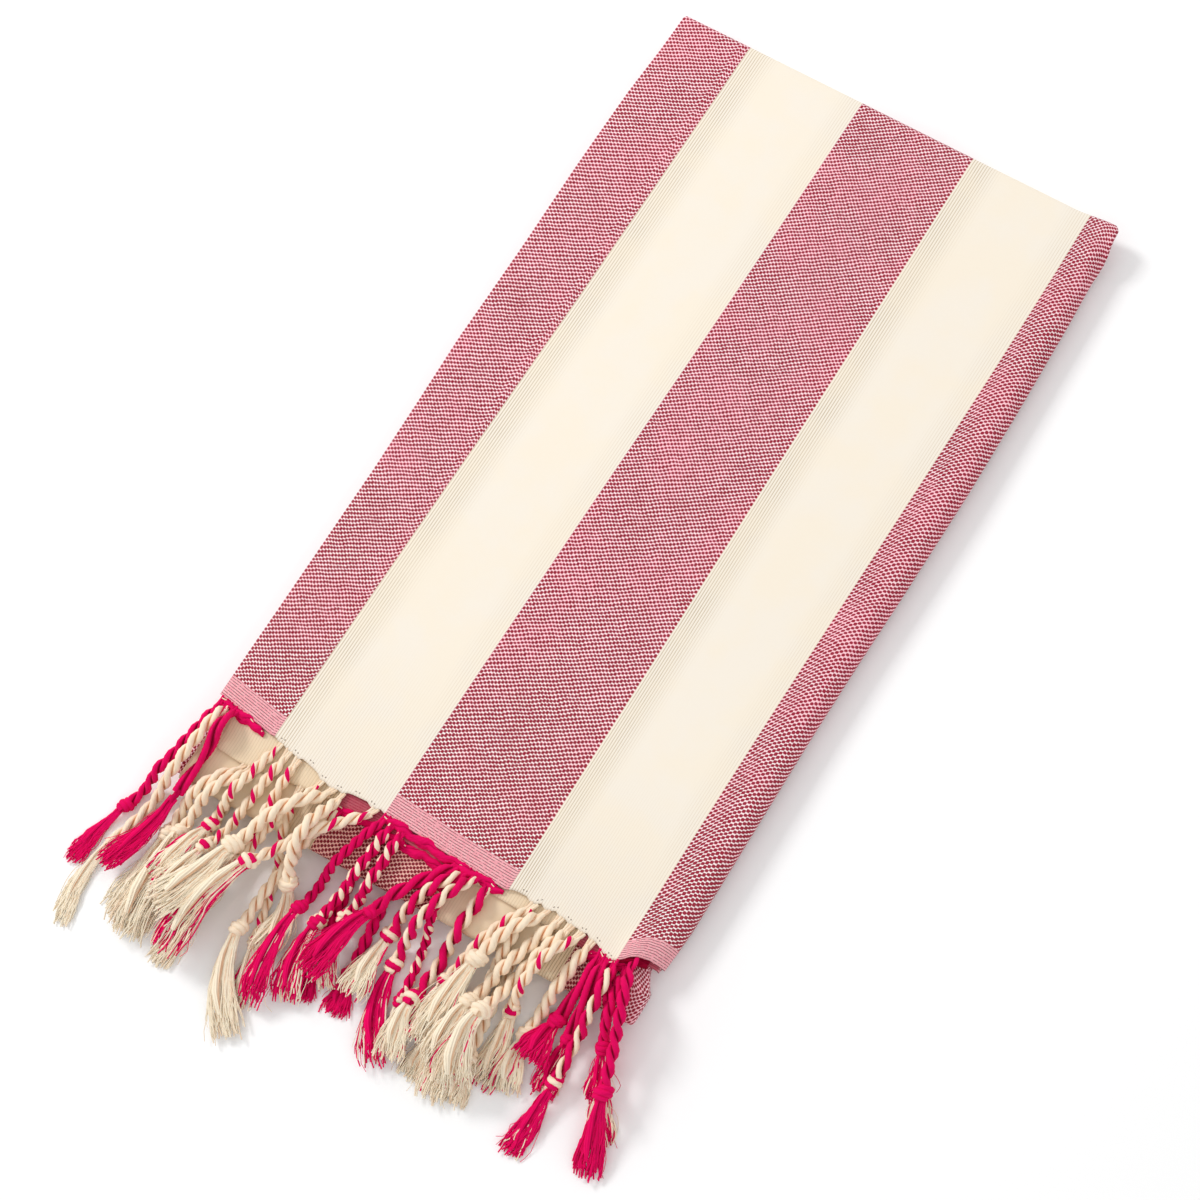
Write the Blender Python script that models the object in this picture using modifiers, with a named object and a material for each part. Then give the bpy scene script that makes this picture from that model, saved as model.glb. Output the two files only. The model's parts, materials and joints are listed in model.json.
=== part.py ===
"""Hammam towel, folded flat, with a twisted and knotted fringe.

The cloth is one sheet. It is folded once across its width, so that ply A lies over ply B with the
bend at +X, and the doubled strip is then laid back and forth along Y in four runs. The hem of the
first run is on top at the near end (-Y). The fringe is the cloth's own warp, twisted into cords.

World frame: metres, +X across the stripes, +Y along the stripes to the far fold, +Z up. The sheet
lies on z = 0, and SHIFT moves everything so that the whole object's box is centred on the origin.
"""

import math
from collections import namedtuple

import bmesh
import bpy
import numpy as np
from mathutils import Vector

MM = 0.001

# Cloth
SHEET = 1.3 * MM
PITCH = 2.0 * MM  # from one layer to the next
FOLD_REACH = 1.5 * PITCH + SHEET / 2  # from a fold's axis to the outside of its outer ply
LEFT = -125 * MM  # left edge of ply A
RIGHT = 125.5 * MM  # outside of the top run's bend
STACK_RIGHT = 120 * MM  # outside of the lower runs' bends, inside the top run's droop
PLY_B_INSET = 3 * MM  # how far ply B's left edge lies inside ply A's
HEM_INSET = 8 * MM  # how much more it lies inside at the hem
HEM_INSET_FROM = -165 * MM
HEM_INSET_FULL = -208 * MM
FLARE = 6.5 * MM  # the near fold spreads this much past the stack
FLARE_FROM = -217 * MM
FLARE_LENGTH = 8 * MM
UNEVEN = 0.055  # share of its height by which the stack swells and sinks
SIDE_STEPS = 4  # faces round each bend

# The top run droops over the stack's right side, except at the far fold.
DROOP_RADIUS = 5.95 * MM
DROOP_LENGTH = 11.4 * MM
DROOP_START = 208 * MM
DROOP_FULL = 184 * MM
DROOP_STEPS = 4

# The upper hem lifts in a small arch beside the right corner.
ARCH_X = 111 * MM
ARCH_WIDTH = 6 * MM
ARCH_HEIGHT = 2.6 * MM
ARCH_START = -188 * MM
ARCH_FULL = -214 * MM

# Fringe
STRIP_GAP = 0.62 * MM  # from a fringe strip to the cloth's edge
STRIP_DEPTH = 2.2 * MM
STRIPE_GAP = 0.35 * MM  # from one stripe's strip to the next
ROOT_WIDTH = 2.6 * MM
CORD_GAP = 0.57 * MM
CORD_RADIUS = 2.8 * MM
FINE_RADIUS = 1.6 * MM  # under the near fold, where a floor cord has little room
FINE_MARGIN = 3 * MM  # a floor cord starts to grow this far past the near fold
FULL_MARGIN = 13 * MM
RING_STEP = 4.4 * MM
TWIST = math.radians(45)  # from one ring to the next
SWELL = 7 * MM  # a cord reaches its full size this far from its root
KNOT_LENGTH = 9 * MM
# Half width and half height of the square-sided parts past the twist.
KNOT_HALF = (4.2 * MM, 3.5 * MM)
NECK_HALF = (2.0 * MM, 1.9 * MM)
TASSEL_HALF = (4.8 * MM, 1.4 * MM)

# Laying the cords on each other
LAY_STEP = 1.1 * MM
LAY_SLOPE = 0.9
LAY_SAG = 1.0 * MM  # how far a ring may hang below the middle of its neighbours
LAY_PASSES = 40

SHIFT = Vector((2.024 * MM, 65.979 * MM, 0.0))

Run = namedtuple("Run", "height left")
# Height of each doubled run's middle, from the top down, and where its left edge lies.
RUNS = tuple(
    Run(SHEET / 2 + PITCH * (0.5 + 2 * below), left * MM)
    for below, left in ((3, -125.0), (2, -123.5), (1, -124.5), (0, -122.5))
)

Side = namedtuple("Side", "y left right")
# How far the left and the right side bow out along the stack.
SIDES = tuple(
    Side(y * MM, left * MM, right * MM)
    for y, left, right in (
        (-214, 1.2, -0.8),
        (-204, 1.3, 0.2),
        (-190, 1.5, 1.2),
        (-80, 1.6, 1.3),
        (-40, 2.6, 2.0),
        (0, 4.0, 3.2),
        (60, 3.5, 4.3),
        (110, 3.8, 4.0),
        (160, 3.3, 3.0),
        (190, 1.7, 1.8),
        (214, 1.2, 0.6),
    )
)

Across = namedtuple("Across", "x y")
# Where the ends and folds of the cloth lie, as seen from above.
HEM_A = tuple(
    Across(x * MM, y * MM)
    for x, y in (
        (-125, -214.0),
        (-90, -217.6),
        (-54, -223.5),
        (-22, -219.6),
        (12, -220.0),
        (45, -219.2),
        (72, -216.2),
        (92, -217.6),
        (103, -220.6),
        (111, -216.0),
        (118, -214.0),
        (126, -214.0),
    )
)
HEM_B = tuple(
    Across(x * MM, y * MM)
    for x, y in (
        (-125, -236.0),
        (-98, -236.5),
        (-60, -229.5),
        (-20, -226.0),
        (90, -222.6),
        (112, -217.5),
        (118, -213.5),
        (126, -213.0),
    )
)
NEAR_FOLD = (Across(-125 * MM, -258.5 * MM), Across(125 * MM, -240.0 * MM))
FAR_FOLD_TOP = tuple(
    Across(x * MM, y * MM) for x, y in ((-125, 214.5), (104, 214.8), (118, 216.4), (125, 216.8))
)
FAR_FOLD_LOW = (Across(-125 * MM, 212.0 * MM), Across(125 * MM, 213.2 * MM))
LOW_HEM = (Across(-125 * MM, -225.0 * MM), Across(0, -228.0 * MM), Across(125 * MM, -224.0 * MM))

# Shares of ply A's width at which the sheet has a row of points, before the droop.
FLAT_SHARES = (0.0, 0.07, 0.144, 0.292, 0.424, 0.564, 0.70, 0.811, 0.893, 0.938, 0.972)
# Shares of each run's length at which it has a row, in its own direction.
RUN_SHARES = (
    (0.0, 0.03, 0.08, 0.26, 0.48, 0.7, 0.88, 0.935, 0.95, 0.965, 0.98, 1.0),
    (0.0, 0.12, 0.37, 0.63, 0.88, 0.955, 0.975, 1.0),
    (0.0, 0.025, 0.045, 0.3, 0.62, 0.9, 1.0),
    (0.0, 0.12, 0.37, 0.63, 0.88, 1.0),
)

Cord = namedtuple("Cord", "root lean swing turn rope tassel")
# Root along the hem, degrees from -Y towards +X at the root, degrees it turns by its tip and further
# degrees that its tassel turns, and the lengths of its twisted part and its tassel, in millimetres.
TOP_CORDS = (
    Cord(-123.3, -6, -22, 22, 68, 37),
    Cord(-119.6, -4, -18, 42, 87, 44),
    Cord(-115.2, 5, -29, 3, 49, 47),
    Cord(-86.6, -11, 2, -8, 48, 36),
    Cord(-80.6, -4, -13, -1, 55, 34),
    Cord(-75.0, 4, -14, -8, 40, 50),
    Cord(-58.9, -24, 40, -43, 48, 50),
    Cord(-52.2, -42, 51, -39, 52, 46),
    Cord(-29.7, -44, 32, 13, 59, 61),
    Cord(-46.9, -17, 59, -41, 52, 28),
    Cord(-22.6, -24, 38, 0, 58, 50),
    Cord(-18.6, -4, -8, 40, 54, 43),
    Cord(-12.5, 1, -13, 52, 46, 36),
    Cord(19.2, -45, 46, -10, 44, 44),
    Cord(24.7, -43, 67, -15, 49, 32),
    Cord(29.5, -32, 65, 14, 60, 44),
    Cord(36.2, -4, 4, 19, 62, 29),
    Cord(58.8, -36, 54, -8, 49, 34),
    Cord(65.6, -42, 73, -26, 34, 48),
    Cord(72.7, -22, 17, 18, 53, 34),
    Cord(78.3, -19, 16, 31, 54, 37),
    Cord(84.6, -36, 84, -47, 49, 35),
    Cord(90.4, -8, 9, 20, 48, 29),
    Cord(97.2, 1, -17, 17, 33, 24),
    Cord(100.4, 5, -1, 3, 39, 27),
    Cord(105.2, 6, -8, -5, 60, 37),
    Cord(112.0, 22, -9, 8, 56, 39),
)
SECOND_CORDS = (
    Cord(-96.6, -46, 100, -60, 48, 48),
    Cord(-92.3, -38, 86, -43, 45, 55),
    Cord(-66.9, 16, 1, -1, 71, 34),
    Cord(-44.9, -17, 30, 40, 69, 54),
    Cord(16.4, 14, -9, 33, 60, 26),
    Cord(57.9, 1, -1, 14, 53, 39),
    Cord(104.5, 24, 4, 6, 43, 38),
    Cord(110.8, 4, 34, -14, 36, 23),
)
FLOOR_CORDS = (
    Cord(-95.0, 0, -8, 0, 70, 34),
    Cord(-82.0, 4, -8, 0, 72, 36),
    Cord(-26.0, 6, 4, 0, 60, 24),
    Cord(-6.0, 4, 6, 0, 56, 24),
    Cord(44.0, 2, 4, 0, 62, 24),
    Cord(62.0, 4, 6, 0, 60, 26),
)

Stripe = namedtuple("Stripe", "name yarn start end")
Hem = namedtuple("Hem", "name row ply cords stripes")
# Each hem's row of the sheet, the ply it is cut from (1 is ply A), and its strips between two x in
# millimetres, lowest hem first.
HEMS = (
    Hem(
        "floor",
        -1,
        1,
        FLOOR_CORDS,
        (
            Stripe("left", "cream", -100.0, -77.0),
            Stripe("middle", "fuchsia", -31.0, -1.0),
            Stripe("right", "cream", 39.0, 69.0),
        ),
    ),
    Hem(
        "second",
        0,
        0,
        SECOND_CORDS,
        (
            Stripe("cream_left", "cream", -112.5, -47.0),
            Stripe("pink_middle", "fuchsia", -47.0, 19.0),
            Stripe("cream_right", "cream", 19.0, 86.0),
            Stripe("pink_right", "fuchsia", 86.0, 115.0),
        ),
    ),
    Hem(
        "top",
        0,
        1,
        TOP_CORDS,
        (
            Stripe("pink_left", "fuchsia", -124.8, -95.0),
            Stripe("cream_left", "cream", -95.0, -24.6),
            Stripe("pink_middle", "fuchsia", -24.6, 45.0),
            Stripe("cream_right", "cream", 45.0, 95.4),
            Stripe("pink_right", "fuchsia", 95.4, 118.5),
        ),
    ),
)

Ring = namedtuple("Ring", "distance wide high twist squareness")


def smooth(value, start, end):
    """0 before start, 1 past end, and a soft change between them."""
    share = min(max((value - start) / (end - start), 0.0), 1.0)
    return share * share * (3 - 2 * share)


def along(line, x):
    """The y of an end or a fold at x."""
    return float(np.interp(x, [p.x for p in line], [p.y for p in line]))


def arch(x, y):
    """How far the upper hem lifts beside its right corner."""
    across = math.exp(-(((x - ARCH_X) / ARCH_WIDTH) ** 2))
    return ARCH_HEIGHT * across * smooth(y, ARCH_START, ARCH_FULL)


def settled(x, y, z):
    """Height z of an even stack, with the stack's soft swells added. The lowest layer stays flat."""
    swell = 0.6 * math.sin(math.tau * (x / 0.31 + y / 0.52) + 0.8)
    swell += 0.4 * math.sin(math.tau * (y / 0.19 - x / 0.42) + 2.1)
    return z + (z - SHEET / 2) * UNEVEN * swell


def bowed(x, y):
    """x with both sides' bows added. Each fades out towards the other side."""
    left = float(np.interp(y, [side.y for side in SIDES], [side.left for side in SIDES]))
    right = float(np.interp(y, [side.y for side in SIDES], [side.right for side in SIDES]))
    share = (x - LEFT) / (RIGHT - LEFT)
    return x - left * (1 - share) + right * share


def drooped(past, amount):
    """(x, height, tilt) of the top run's middle, this far past the start of its droop."""
    tilt = amount * math.pi / 2
    bent = min(past / DROOP_RADIUS, tilt)
    straight = past - bent * DROOP_RADIUS
    x = DROOP_RADIUS * math.sin(bent) + straight * math.cos(bent)
    height = -DROOP_RADIUS * (1 - math.cos(bent)) - straight * math.sin(bent)
    return x, height, bent


def run_ends(run, x, ply):
    """y at the start and the end of a run, at x. ply is 1 on ply A and 0 on ply B."""
    hem = ply * along(HEM_A, x) + (1 - ply) * along(HEM_B, x)
    near = along(NEAR_FOLD, x) + FOLD_REACH
    far_top = along(FAR_FOLD_TOP, x) - FOLD_REACH
    far_low = along(FAR_FOLD_LOW, x) - FOLD_REACH
    ends = ((hem, far_top), (far_top, near), (near, far_low), (far_low, along(LOW_HEM, x)))
    return ends[run]


def section(run, y):
    """The sheet's middle across a doubled run near y, from ply A's left edge round the bend to ply B's.

    Each point is x, how far it lies above the run's middle, and its share of ply A."""
    radius = PITCH / 2
    left = RUNS[run].left
    if run == 0:
        amount = smooth(y, DROOP_START, DROOP_FULL)
        past = DROOP_RADIUS + (DROOP_LENGTH - DROOP_RADIUS) * amount
        start = RIGHT - SHEET / 2 - radius - DROOP_RADIUS
    else:
        amount = 0.0
        past = DROOP_RADIUS
        spread = FLARE * smooth(y, FLARE_FROM, FLARE_FROM - FLARE_LENGTH)
        start = STACK_RIGHT + spread - SHEET / 2 - radius - past

    def place(ahead, offset):
        """A point this far past the start of the droop, and this far off the run's middle."""
        if ahead <= 0:
            return start + ahead, offset
        x, height, tilt = drooped(min(ahead, past), amount)
        more = max(0.0, ahead - past)
        x += more * math.cos(tilt) + offset * math.sin(tilt)
        return start + x, height - more * math.sin(tilt) + offset * math.cos(tilt)

    spots = [share * (start - left) - (start - left) for share in FLAT_SHARES]
    spots += [past * step / DROOP_STEPS for step in range(DROOP_STEPS + 1)]
    points = [(*place(ahead, radius), 1.0) for ahead in spots]
    for step in range(1, SIDE_STEPS):
        angle = math.pi / 2 - math.pi * step / SIDE_STEPS
        spot = place(past + radius * math.cos(angle), radius * math.sin(angle))
        points.append((*spot, 0.5 + 0.5 * math.sin(angle)))
    full_inset = PLY_B_INSET
    if run == 0:
        full_inset += HEM_INSET * smooth(y, HEM_INSET_FROM, HEM_INSET_FULL)
    for ahead in reversed(spots):
        share = min(1.0, ahead / spots[0])
        inset = full_inset * max(0.0, share)
        points.append((*place(ahead + inset, -radius), 0.0))
    return points


def cloth_rows():
    """The sheet's middle as rows of points across the doubled run, from the top hem to the low hem.

    Each point is its final x, y and z, and its share of ply A."""
    rows = []
    for run, shares in enumerate(RUN_SHARES):
        way = 1 if run % 2 == 0 else -1
        start, end = run_ends(run, RIGHT, 0.5)
        for share in shares:
            row = []
            for x, offset, ply in section(run, start + share * (end - start)):
                ends = run_ends(run, x, ply)
                y = ends[0] + share * (ends[1] - ends[0])
                z = settled(x, y, RUNS[run].height + way * offset)
                if run == 0 and ply > 0.5:
                    z += arch(x, y)
                row.append((bowed(x, y), y, z, ply))
            rows.append(row)
        if run == len(RUN_SHARES) - 1:
            break
        for step in range(1, SIDE_STEPS):
            angle = math.pi * step / SIDE_STEPS
            row = []
            for above, below in zip(section(run, end), section(run + 1, end)):
                x = above[0] + (below[0] - above[0]) * step / SIDE_STEPS
                reach = PITCH + way * above[1]
                y = run_ends(run, x, above[2])[1] + way * reach * math.sin(angle)
                z = RUNS[run].height - PITCH + reach * math.cos(angle)
                row.append((bowed(x, y), y, settled(x, y, z), above[2]))
            rows.append(row)
    return rows


def cut_edge(row, ply):
    """The middle of the sheet along one ply's cut edge, as an array of x, y, z in order of x."""
    return np.array(sorted(point[:3] for point in row if point[3] == ply))


def make_material(name, colour, roughness):
    material = bpy.data.materials.new(name)
    material.use_nodes = True
    shader = material.node_tree.nodes["Principled BSDF"]
    shader.inputs["Base Color"].default_value = (*colour, 1)
    shader.inputs["Roughness"].default_value = roughness
    shader.inputs["Metallic"].default_value = 0
    return material


def make_object(name, mesh_data, material, collection):
    mesh = bpy.data.meshes.new(name)
    bmesh.ops.recalc_face_normals(mesh_data, faces=mesh_data.faces)
    mesh_data.to_mesh(mesh)
    mesh_data.free()
    mesh.materials.append(material)
    obj = bpy.data.objects.new(name, mesh)
    obj.location = SHIFT
    collection.objects.link(obj)
    return obj


def make_cloth(rows, material, collection):
    """The folded sheet: its middle surface, thickened both ways."""
    mesh_data = bmesh.new()
    grid = [[mesh_data.verts.new(point[:3]) for point in row] for row in rows]
    for row, following in zip(grid, grid[1:]):
        for i in range(len(row) - 1):
            mesh_data.faces.new((row[i], row[i + 1], following[i + 1], following[i]))
    obj = make_object("cloth", mesh_data, material, collection)
    solidify = obj.modifiers.new("thickness", "SOLIDIFY")
    solidify.thickness = SHEET
    solidify.offset = 0
    solidify.use_even_offset = True


def rings_of(cord, hem, root_y):
    """The cord's root and every ring after it, out to the end of its tassel."""
    rope, total = cord.rope * MM, (cord.rope + cord.tassel) * MM
    count = 2 * round(rope / RING_STEP / 2)
    rings = [Ring(0.0, ROOT_WIDTH / 2, SHEET / 2, 0.0, 1)]
    for i in range(1, count + 1):
        distance = rope * i / count
        full = CORD_RADIUS
        if hem.name == "floor":
            past = along(NEAR_FOLD, cord.root * MM) - (root_y - distance)
            full = FINE_RADIUS + (CORD_RADIUS - FINE_RADIUS) * smooth(past, FINE_MARGIN, FULL_MARGIN)
        radius = SHEET / 2 + (full - SHEET / 2) * min(1.0, distance / SWELL)
        rings.append(Ring(distance, radius, radius, TWIST * (i - 0.5), 1))
    turned = TWIST * count
    for share, half in ((0.28, KNOT_HALF), (0.72, KNOT_HALF), (1.0, NECK_HALF)):
        rings.append(Ring(rope + KNOT_LENGTH * share, *half, turned, 2))
    neck = rope + KNOT_LENGTH
    for share, wide, high in ((0.35, 0.85, 1.0), (0.7, 1.0, 1.0), (1.0, 0.9, 0.75)):
        size = (TASSEL_HALF[0] * wide, TASSEL_HALF[1] * high)
        rings.append(Ring(neck + (total - neck) * share, *size, turned, 2))
    return rings


def rolled(reach, apart):
    """How high a round of this reach stands over an edge that it is this far past."""
    return math.sqrt(max(0.0, reach**2 - apart**2))


def rest_height(x, y, high, hem):
    """The height of a cord's middle, where it lies on the cloth or on the floor."""
    if hem.name == "floor" or x > STACK_RIGHT + FLARE + high:
        return high
    clear = high + CORD_GAP
    axis = along(NEAR_FOLD, x) + FOLD_REACH
    past = axis - y
    if past > FOLD_REACH + clear:
        return high
    low = RUNS[1].height - PITCH
    height = settled(x, y, low + rolled(FOLD_REACH + clear, max(0.0, past)))
    if hem.name == "top":
        past = along(HEM_B, x) - STRIP_GAP - STRIP_DEPTH - y
        if past < clear:
            second = RUNS[0].height - PITCH / 2 + SHEET / 2
            height = max(height, settled(x, y, second) + rolled(clear, max(0.0, past)))
    return max(high, height)


def stacked_height(spots, laid):
    """How high each spot of a cord has to be to clear the cords that are already laid."""
    apart = np.hypot(spots[:, None, 0] - laid[None, :, 0], spots[:, None, 1] - laid[None, :, 1])
    wide = spots[:, None, 3] + laid[None, :, 3] + CORD_GAP
    high = spots[:, None, 4] + laid[None, :, 4] + CORD_GAP
    power = 2 * spots[:, None, 5] * laid[None, :, 5]
    inside = np.clip(1 - np.minimum(apart / wide, 1) ** power, 0, 1)
    over = high * inside ** (1 / power)
    return np.where(apart < wide, laid[None, :, 2] + over, 0.0).max(axis=1)


def drawn_down(distances, need, places, start):
    """Heights of the rings: as low as the cord can lie with no spot between them below its need."""
    after = np.clip(np.searchsorted(places, distances), 1, len(places) - 1)
    share = (distances - places[after - 1]) / (places[after] - places[after - 1])
    last = len(places) - 1
    heights = np.full(len(places), start)
    for i in range(1, last + 1):
        near = (distances >= places[i - 1]) & (distances <= places[min(i + 1, last)])
        heights[i] = need[near].max()
    for _ in range(LAY_PASSES):
        for i in range(1, last + 1):
            lowest = [heights[i - 1] - LAY_SLOPE * (places[i] - places[i - 1])]
            into = (after == i) & (share > (0.4 if i == 1 else 0.02))
            if into.any():
                held = (1 - share[into]) * heights[i - 1]
                lowest.append(((need[into] - held) / share[into]).max())
            if i < last:
                lowest.append(heights[i + 1] - LAY_SLOPE * (places[i + 1] - places[i]))
                lowest.append((heights[i - 1] + heights[i + 1]) / 2 - LAY_SAG)
                out = (after == i + 1) & (share < 0.98)
                if out.any():
                    held = share[out] * heights[i + 1]
                    lowest.append(((need[out] - held) / (1 - share[out])).max())
            heights[i] = max(lowest)
    return heights


def lay_cords(edges):
    """Lays every cord, lowest hem first, on the floor, the cloth and the cords laid before it.

    Returns {(hem name, cord index): (rings, array of their x, y, z)}."""
    laid = np.array([[1.0, 0, 0, 0, 0, 1.0]])  # a spot far off, for the first cord to be compared with
    routes = {}
    for hem in HEMS:
        edge = edges[hem.name]
        for index, cord in enumerate(hem.cords):
            x = cord.root * MM
            y = float(np.interp(x, edge[:, 0], edge[:, 1])) - STRIP_GAP - STRIP_DEPTH
            start = float(np.interp(x, edge[:, 0], edge[:, 2]))
            rings = rings_of(cord, hem, y)
            places = np.array([ring.distance for ring in rings])
            total = places[-1]
            even = np.linspace(0, total, round(total / LAY_STEP) + 1)
            distances = np.union1d(even, places)
            past = np.clip((distances - cord.rope * MM) / (cord.tassel * MM), 0, 1)
            heading = np.radians(cord.lean + cord.swing * distances / total + cord.turn * past)
            steps = np.diff(distances, prepend=0)
            spots = np.zeros((len(distances), 6))
            spots[:, 0] = x + np.cumsum(steps * np.sin(heading))
            spots[:, 1] = y - np.cumsum(steps * np.cos(heading))
            for column, field in ((3, "wide"), (4, "high"), (5, "squareness")):
                values = [getattr(ring, field) for ring in rings]
                spots[:, column] = np.interp(distances, places, values)
            need = np.array([rest_height(spot[0], spot[1], spot[4], hem) for spot in spots])
            need = np.maximum(need, stacked_height(spots, laid))
            heights = drawn_down(distances, need, places, start)
            spots[:, 2] = np.interp(distances, places, heights)
            laid = np.vstack((laid, spots))
            axes = (np.interp(places, distances, spots[:, i]) for i in range(3))
            routes[hem.name, index] = (rings, np.column_stack(tuple(axes)))
    return routes


def add_cord(mesh_data, root, rings, route):
    """Grows a cord out of the four corners of its root in the strip's front face."""
    corners = root
    for i in range(1, len(rings)):
        ring = rings[i]
        step = Vector(route[min(i + 1, len(route) - 1)] - route[i - 1])
        side = step.cross(Vector((0, 0, 1))).normalized()
        up = side.cross(step).normalized()
        across, above = side * ring.wide, up * ring.high
        if ring.squareness > 1:
            across, above = across * math.sqrt(2), above * math.sqrt(2)
        grown = []
        for corner in range(4):
            angle = math.pi / 4 + math.pi / 2 * corner + ring.twist
            spot = Vector(route[i]) + across * math.cos(angle) + above * math.sin(angle)
            grown.append(mesh_data.verts.new(spot))
        for j in range(4):
            k = (j + 1) % 4
            mesh_data.faces.new((corners[j], corners[k], grown[k], grown[j]))
        corners = grown
    mesh_data.faces.new(corners)


def make_fringe(hem, stripe, edge, routes, material, collection):
    """One stripe's cords, fused into a narrow strip that follows the cloth's cut edge."""
    members = [i for i, cord in enumerate(hem.cords) if stripe.start < cord.root < stripe.end]
    cells = {stripe.start * MM + STRIPE_GAP / 2: None, stripe.end * MM - STRIPE_GAP / 2: None}
    for x in edge[:, 0]:
        clear = all(abs(x - hem.cords[i].root * MM) > 0.62 * ROOT_WIDTH for i in members)
        if clear and min(cells) + STRIPE_GAP < x < max(cells) - STRIPE_GAP:
            cells[x] = None
    for i in members:
        cells[hem.cords[i].root * MM - ROOT_WIDTH / 2] = i
        cells[hem.cords[i].root * MM + ROOT_WIDTH / 2] = None
    spots = sorted(cells)
    mesh_data = bmesh.new()
    columns = []
    for x in spots:
        y = float(np.interp(x, edge[:, 0], edge[:, 1])) - STRIP_GAP
        z = float(np.interp(x, edge[:, 0], edge[:, 2]))
        front = y - STRIP_DEPTH
        outline = ((y, -1), (y, 1), (front, 1), (front, -1))
        columns.append([mesh_data.verts.new((x, spot, z + up * SHEET / 2)) for spot, up in outline])
    for x, here, there in zip(spots, columns, columns[1:]):
        for i in range(4):
            j = (i + 1) % 4
            if i == 2 and cells[x] is not None:
                root = (here[2], there[2], there[3], here[3])
                add_cord(mesh_data, root, *routes[hem.name, cells[x]])
            else:
                mesh_data.faces.new((here[i], here[j], there[j], there[i]))
    mesh_data.faces.new(columns[0])
    mesh_data.faces.new(columns[-1])
    make_object(f"fringe_{hem.name}_{stripe.name}", mesh_data, material, collection)


def main():
    for obj in list(bpy.data.objects):
        bpy.data.objects.remove(obj)
    towel = bpy.data.collections.new("hammam_towel")
    bpy.context.scene.collection.children.link(towel)
    weave = make_material("woven cotton", (0.80, 0.42, 0.44), 0.9)
    yarns = {
        "fuchsia": make_material("fuchsia yarn", (0.72, 0.01, 0.11), 0.85),
        "cream": make_material("cream yarn", (0.90, 0.76, 0.55), 0.85),
    }
    rows = cloth_rows()
    make_cloth(rows, weave, towel)
    edges = {hem.name: cut_edge(rows[hem.row], hem.ply) for hem in HEMS}
    routes = lay_cords(edges)
    for hem in HEMS:
        for stripe in hem.stripes:
            make_fringe(hem, stripe, edges[hem.name], routes, yarns[stripe.yarn], towel)


main()
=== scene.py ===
"""Looks of a folded hammam towel: striped cotton cloth with a twisted and knotted fringe.

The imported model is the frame. One sheet piece lies on the folds of the cloth node, and one piece of
twisted cords stands for each fringe node. Everything is in metres, with +X across the stripes, +Y
along them to the far fold and +Z up. The towel lies on z = 0.
"""

from __future__ import annotations

import json
import logging
import math
from dataclasses import dataclass
from enum import Enum

import bpy
import numpy as np
from mathutils import Matrix, Vector

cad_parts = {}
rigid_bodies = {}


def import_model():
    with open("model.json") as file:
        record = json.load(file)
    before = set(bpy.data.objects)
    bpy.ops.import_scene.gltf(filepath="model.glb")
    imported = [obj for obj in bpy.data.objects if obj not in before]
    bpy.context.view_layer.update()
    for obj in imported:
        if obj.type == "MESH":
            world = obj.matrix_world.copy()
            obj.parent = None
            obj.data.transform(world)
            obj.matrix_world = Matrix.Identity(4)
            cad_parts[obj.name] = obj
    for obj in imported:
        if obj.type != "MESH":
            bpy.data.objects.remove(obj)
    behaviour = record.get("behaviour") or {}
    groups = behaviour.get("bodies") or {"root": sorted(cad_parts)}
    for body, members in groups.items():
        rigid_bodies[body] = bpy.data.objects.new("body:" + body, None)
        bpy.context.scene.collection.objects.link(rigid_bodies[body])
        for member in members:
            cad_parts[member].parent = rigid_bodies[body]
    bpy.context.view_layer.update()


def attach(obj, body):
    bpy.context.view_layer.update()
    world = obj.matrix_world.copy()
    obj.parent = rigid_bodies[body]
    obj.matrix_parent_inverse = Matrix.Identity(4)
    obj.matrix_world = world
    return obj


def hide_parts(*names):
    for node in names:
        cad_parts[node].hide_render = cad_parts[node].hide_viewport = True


Span = tuple[float, float]  # where a soft change starts and where it is full
Triple = tuple[float, float, float]

LOG = logging.getLogger("hammam_towel")
MM = 0.001
SHIFT = np.array((2.024, 65.979, 0.0)) * MM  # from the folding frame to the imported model's frame
STRIPE = 66 * MM  # width of a stripe
FIRST_STRIPE = 36 * MM  # width of the one at the selvedge


def smooth(value: np.ndarray | float, start: float, end: float) -> np.ndarray:
    """0 before start, 1 past end, and a soft change between them."""
    share = np.clip((np.asarray(value, float) - start) / (end - start), 0.0, 1.0)
    return share * share * (3 - 2 * share)


def bump(value: np.ndarray | float, centre: float, width: float) -> np.ndarray:
    """A soft bell of height 1 at centre, with this width on either side."""
    return np.exp(-(((np.asarray(value, float) - centre) / width) ** 2))


def lengths(line: np.ndarray) -> np.ndarray:
    """The way from a line's first point to each of its points."""
    return np.concatenate(([0], np.cumsum(np.linalg.norm(np.diff(line, axis=0), axis=1))))


def walked(line: np.ndarray, at: np.ndarray | float) -> np.ndarray:
    """The points of a line this far along it."""
    return np.stack([np.interp(at, lengths(line), line[:, i]) for i in range(3)], axis=-1)


def beside(edge: np.ndarray, x: np.ndarray | float) -> tuple[np.ndarray, np.ndarray]:
    """The y and z of an edge, given as rows in order of x, at x."""
    return np.interp(x, edge[:, 0], edge[:, 1]), np.interp(x, edge[:, 0], edge[:, 2])


def shown(name: str, data: bpy.types.ID) -> bpy.types.Object:
    """A new object in the scene that holds this data."""
    obj = bpy.data.objects.new(name, data)
    bpy.context.scene.collection.objects.link(obj)
    return obj


# ---------------------------------------------------------------- nodes


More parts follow.
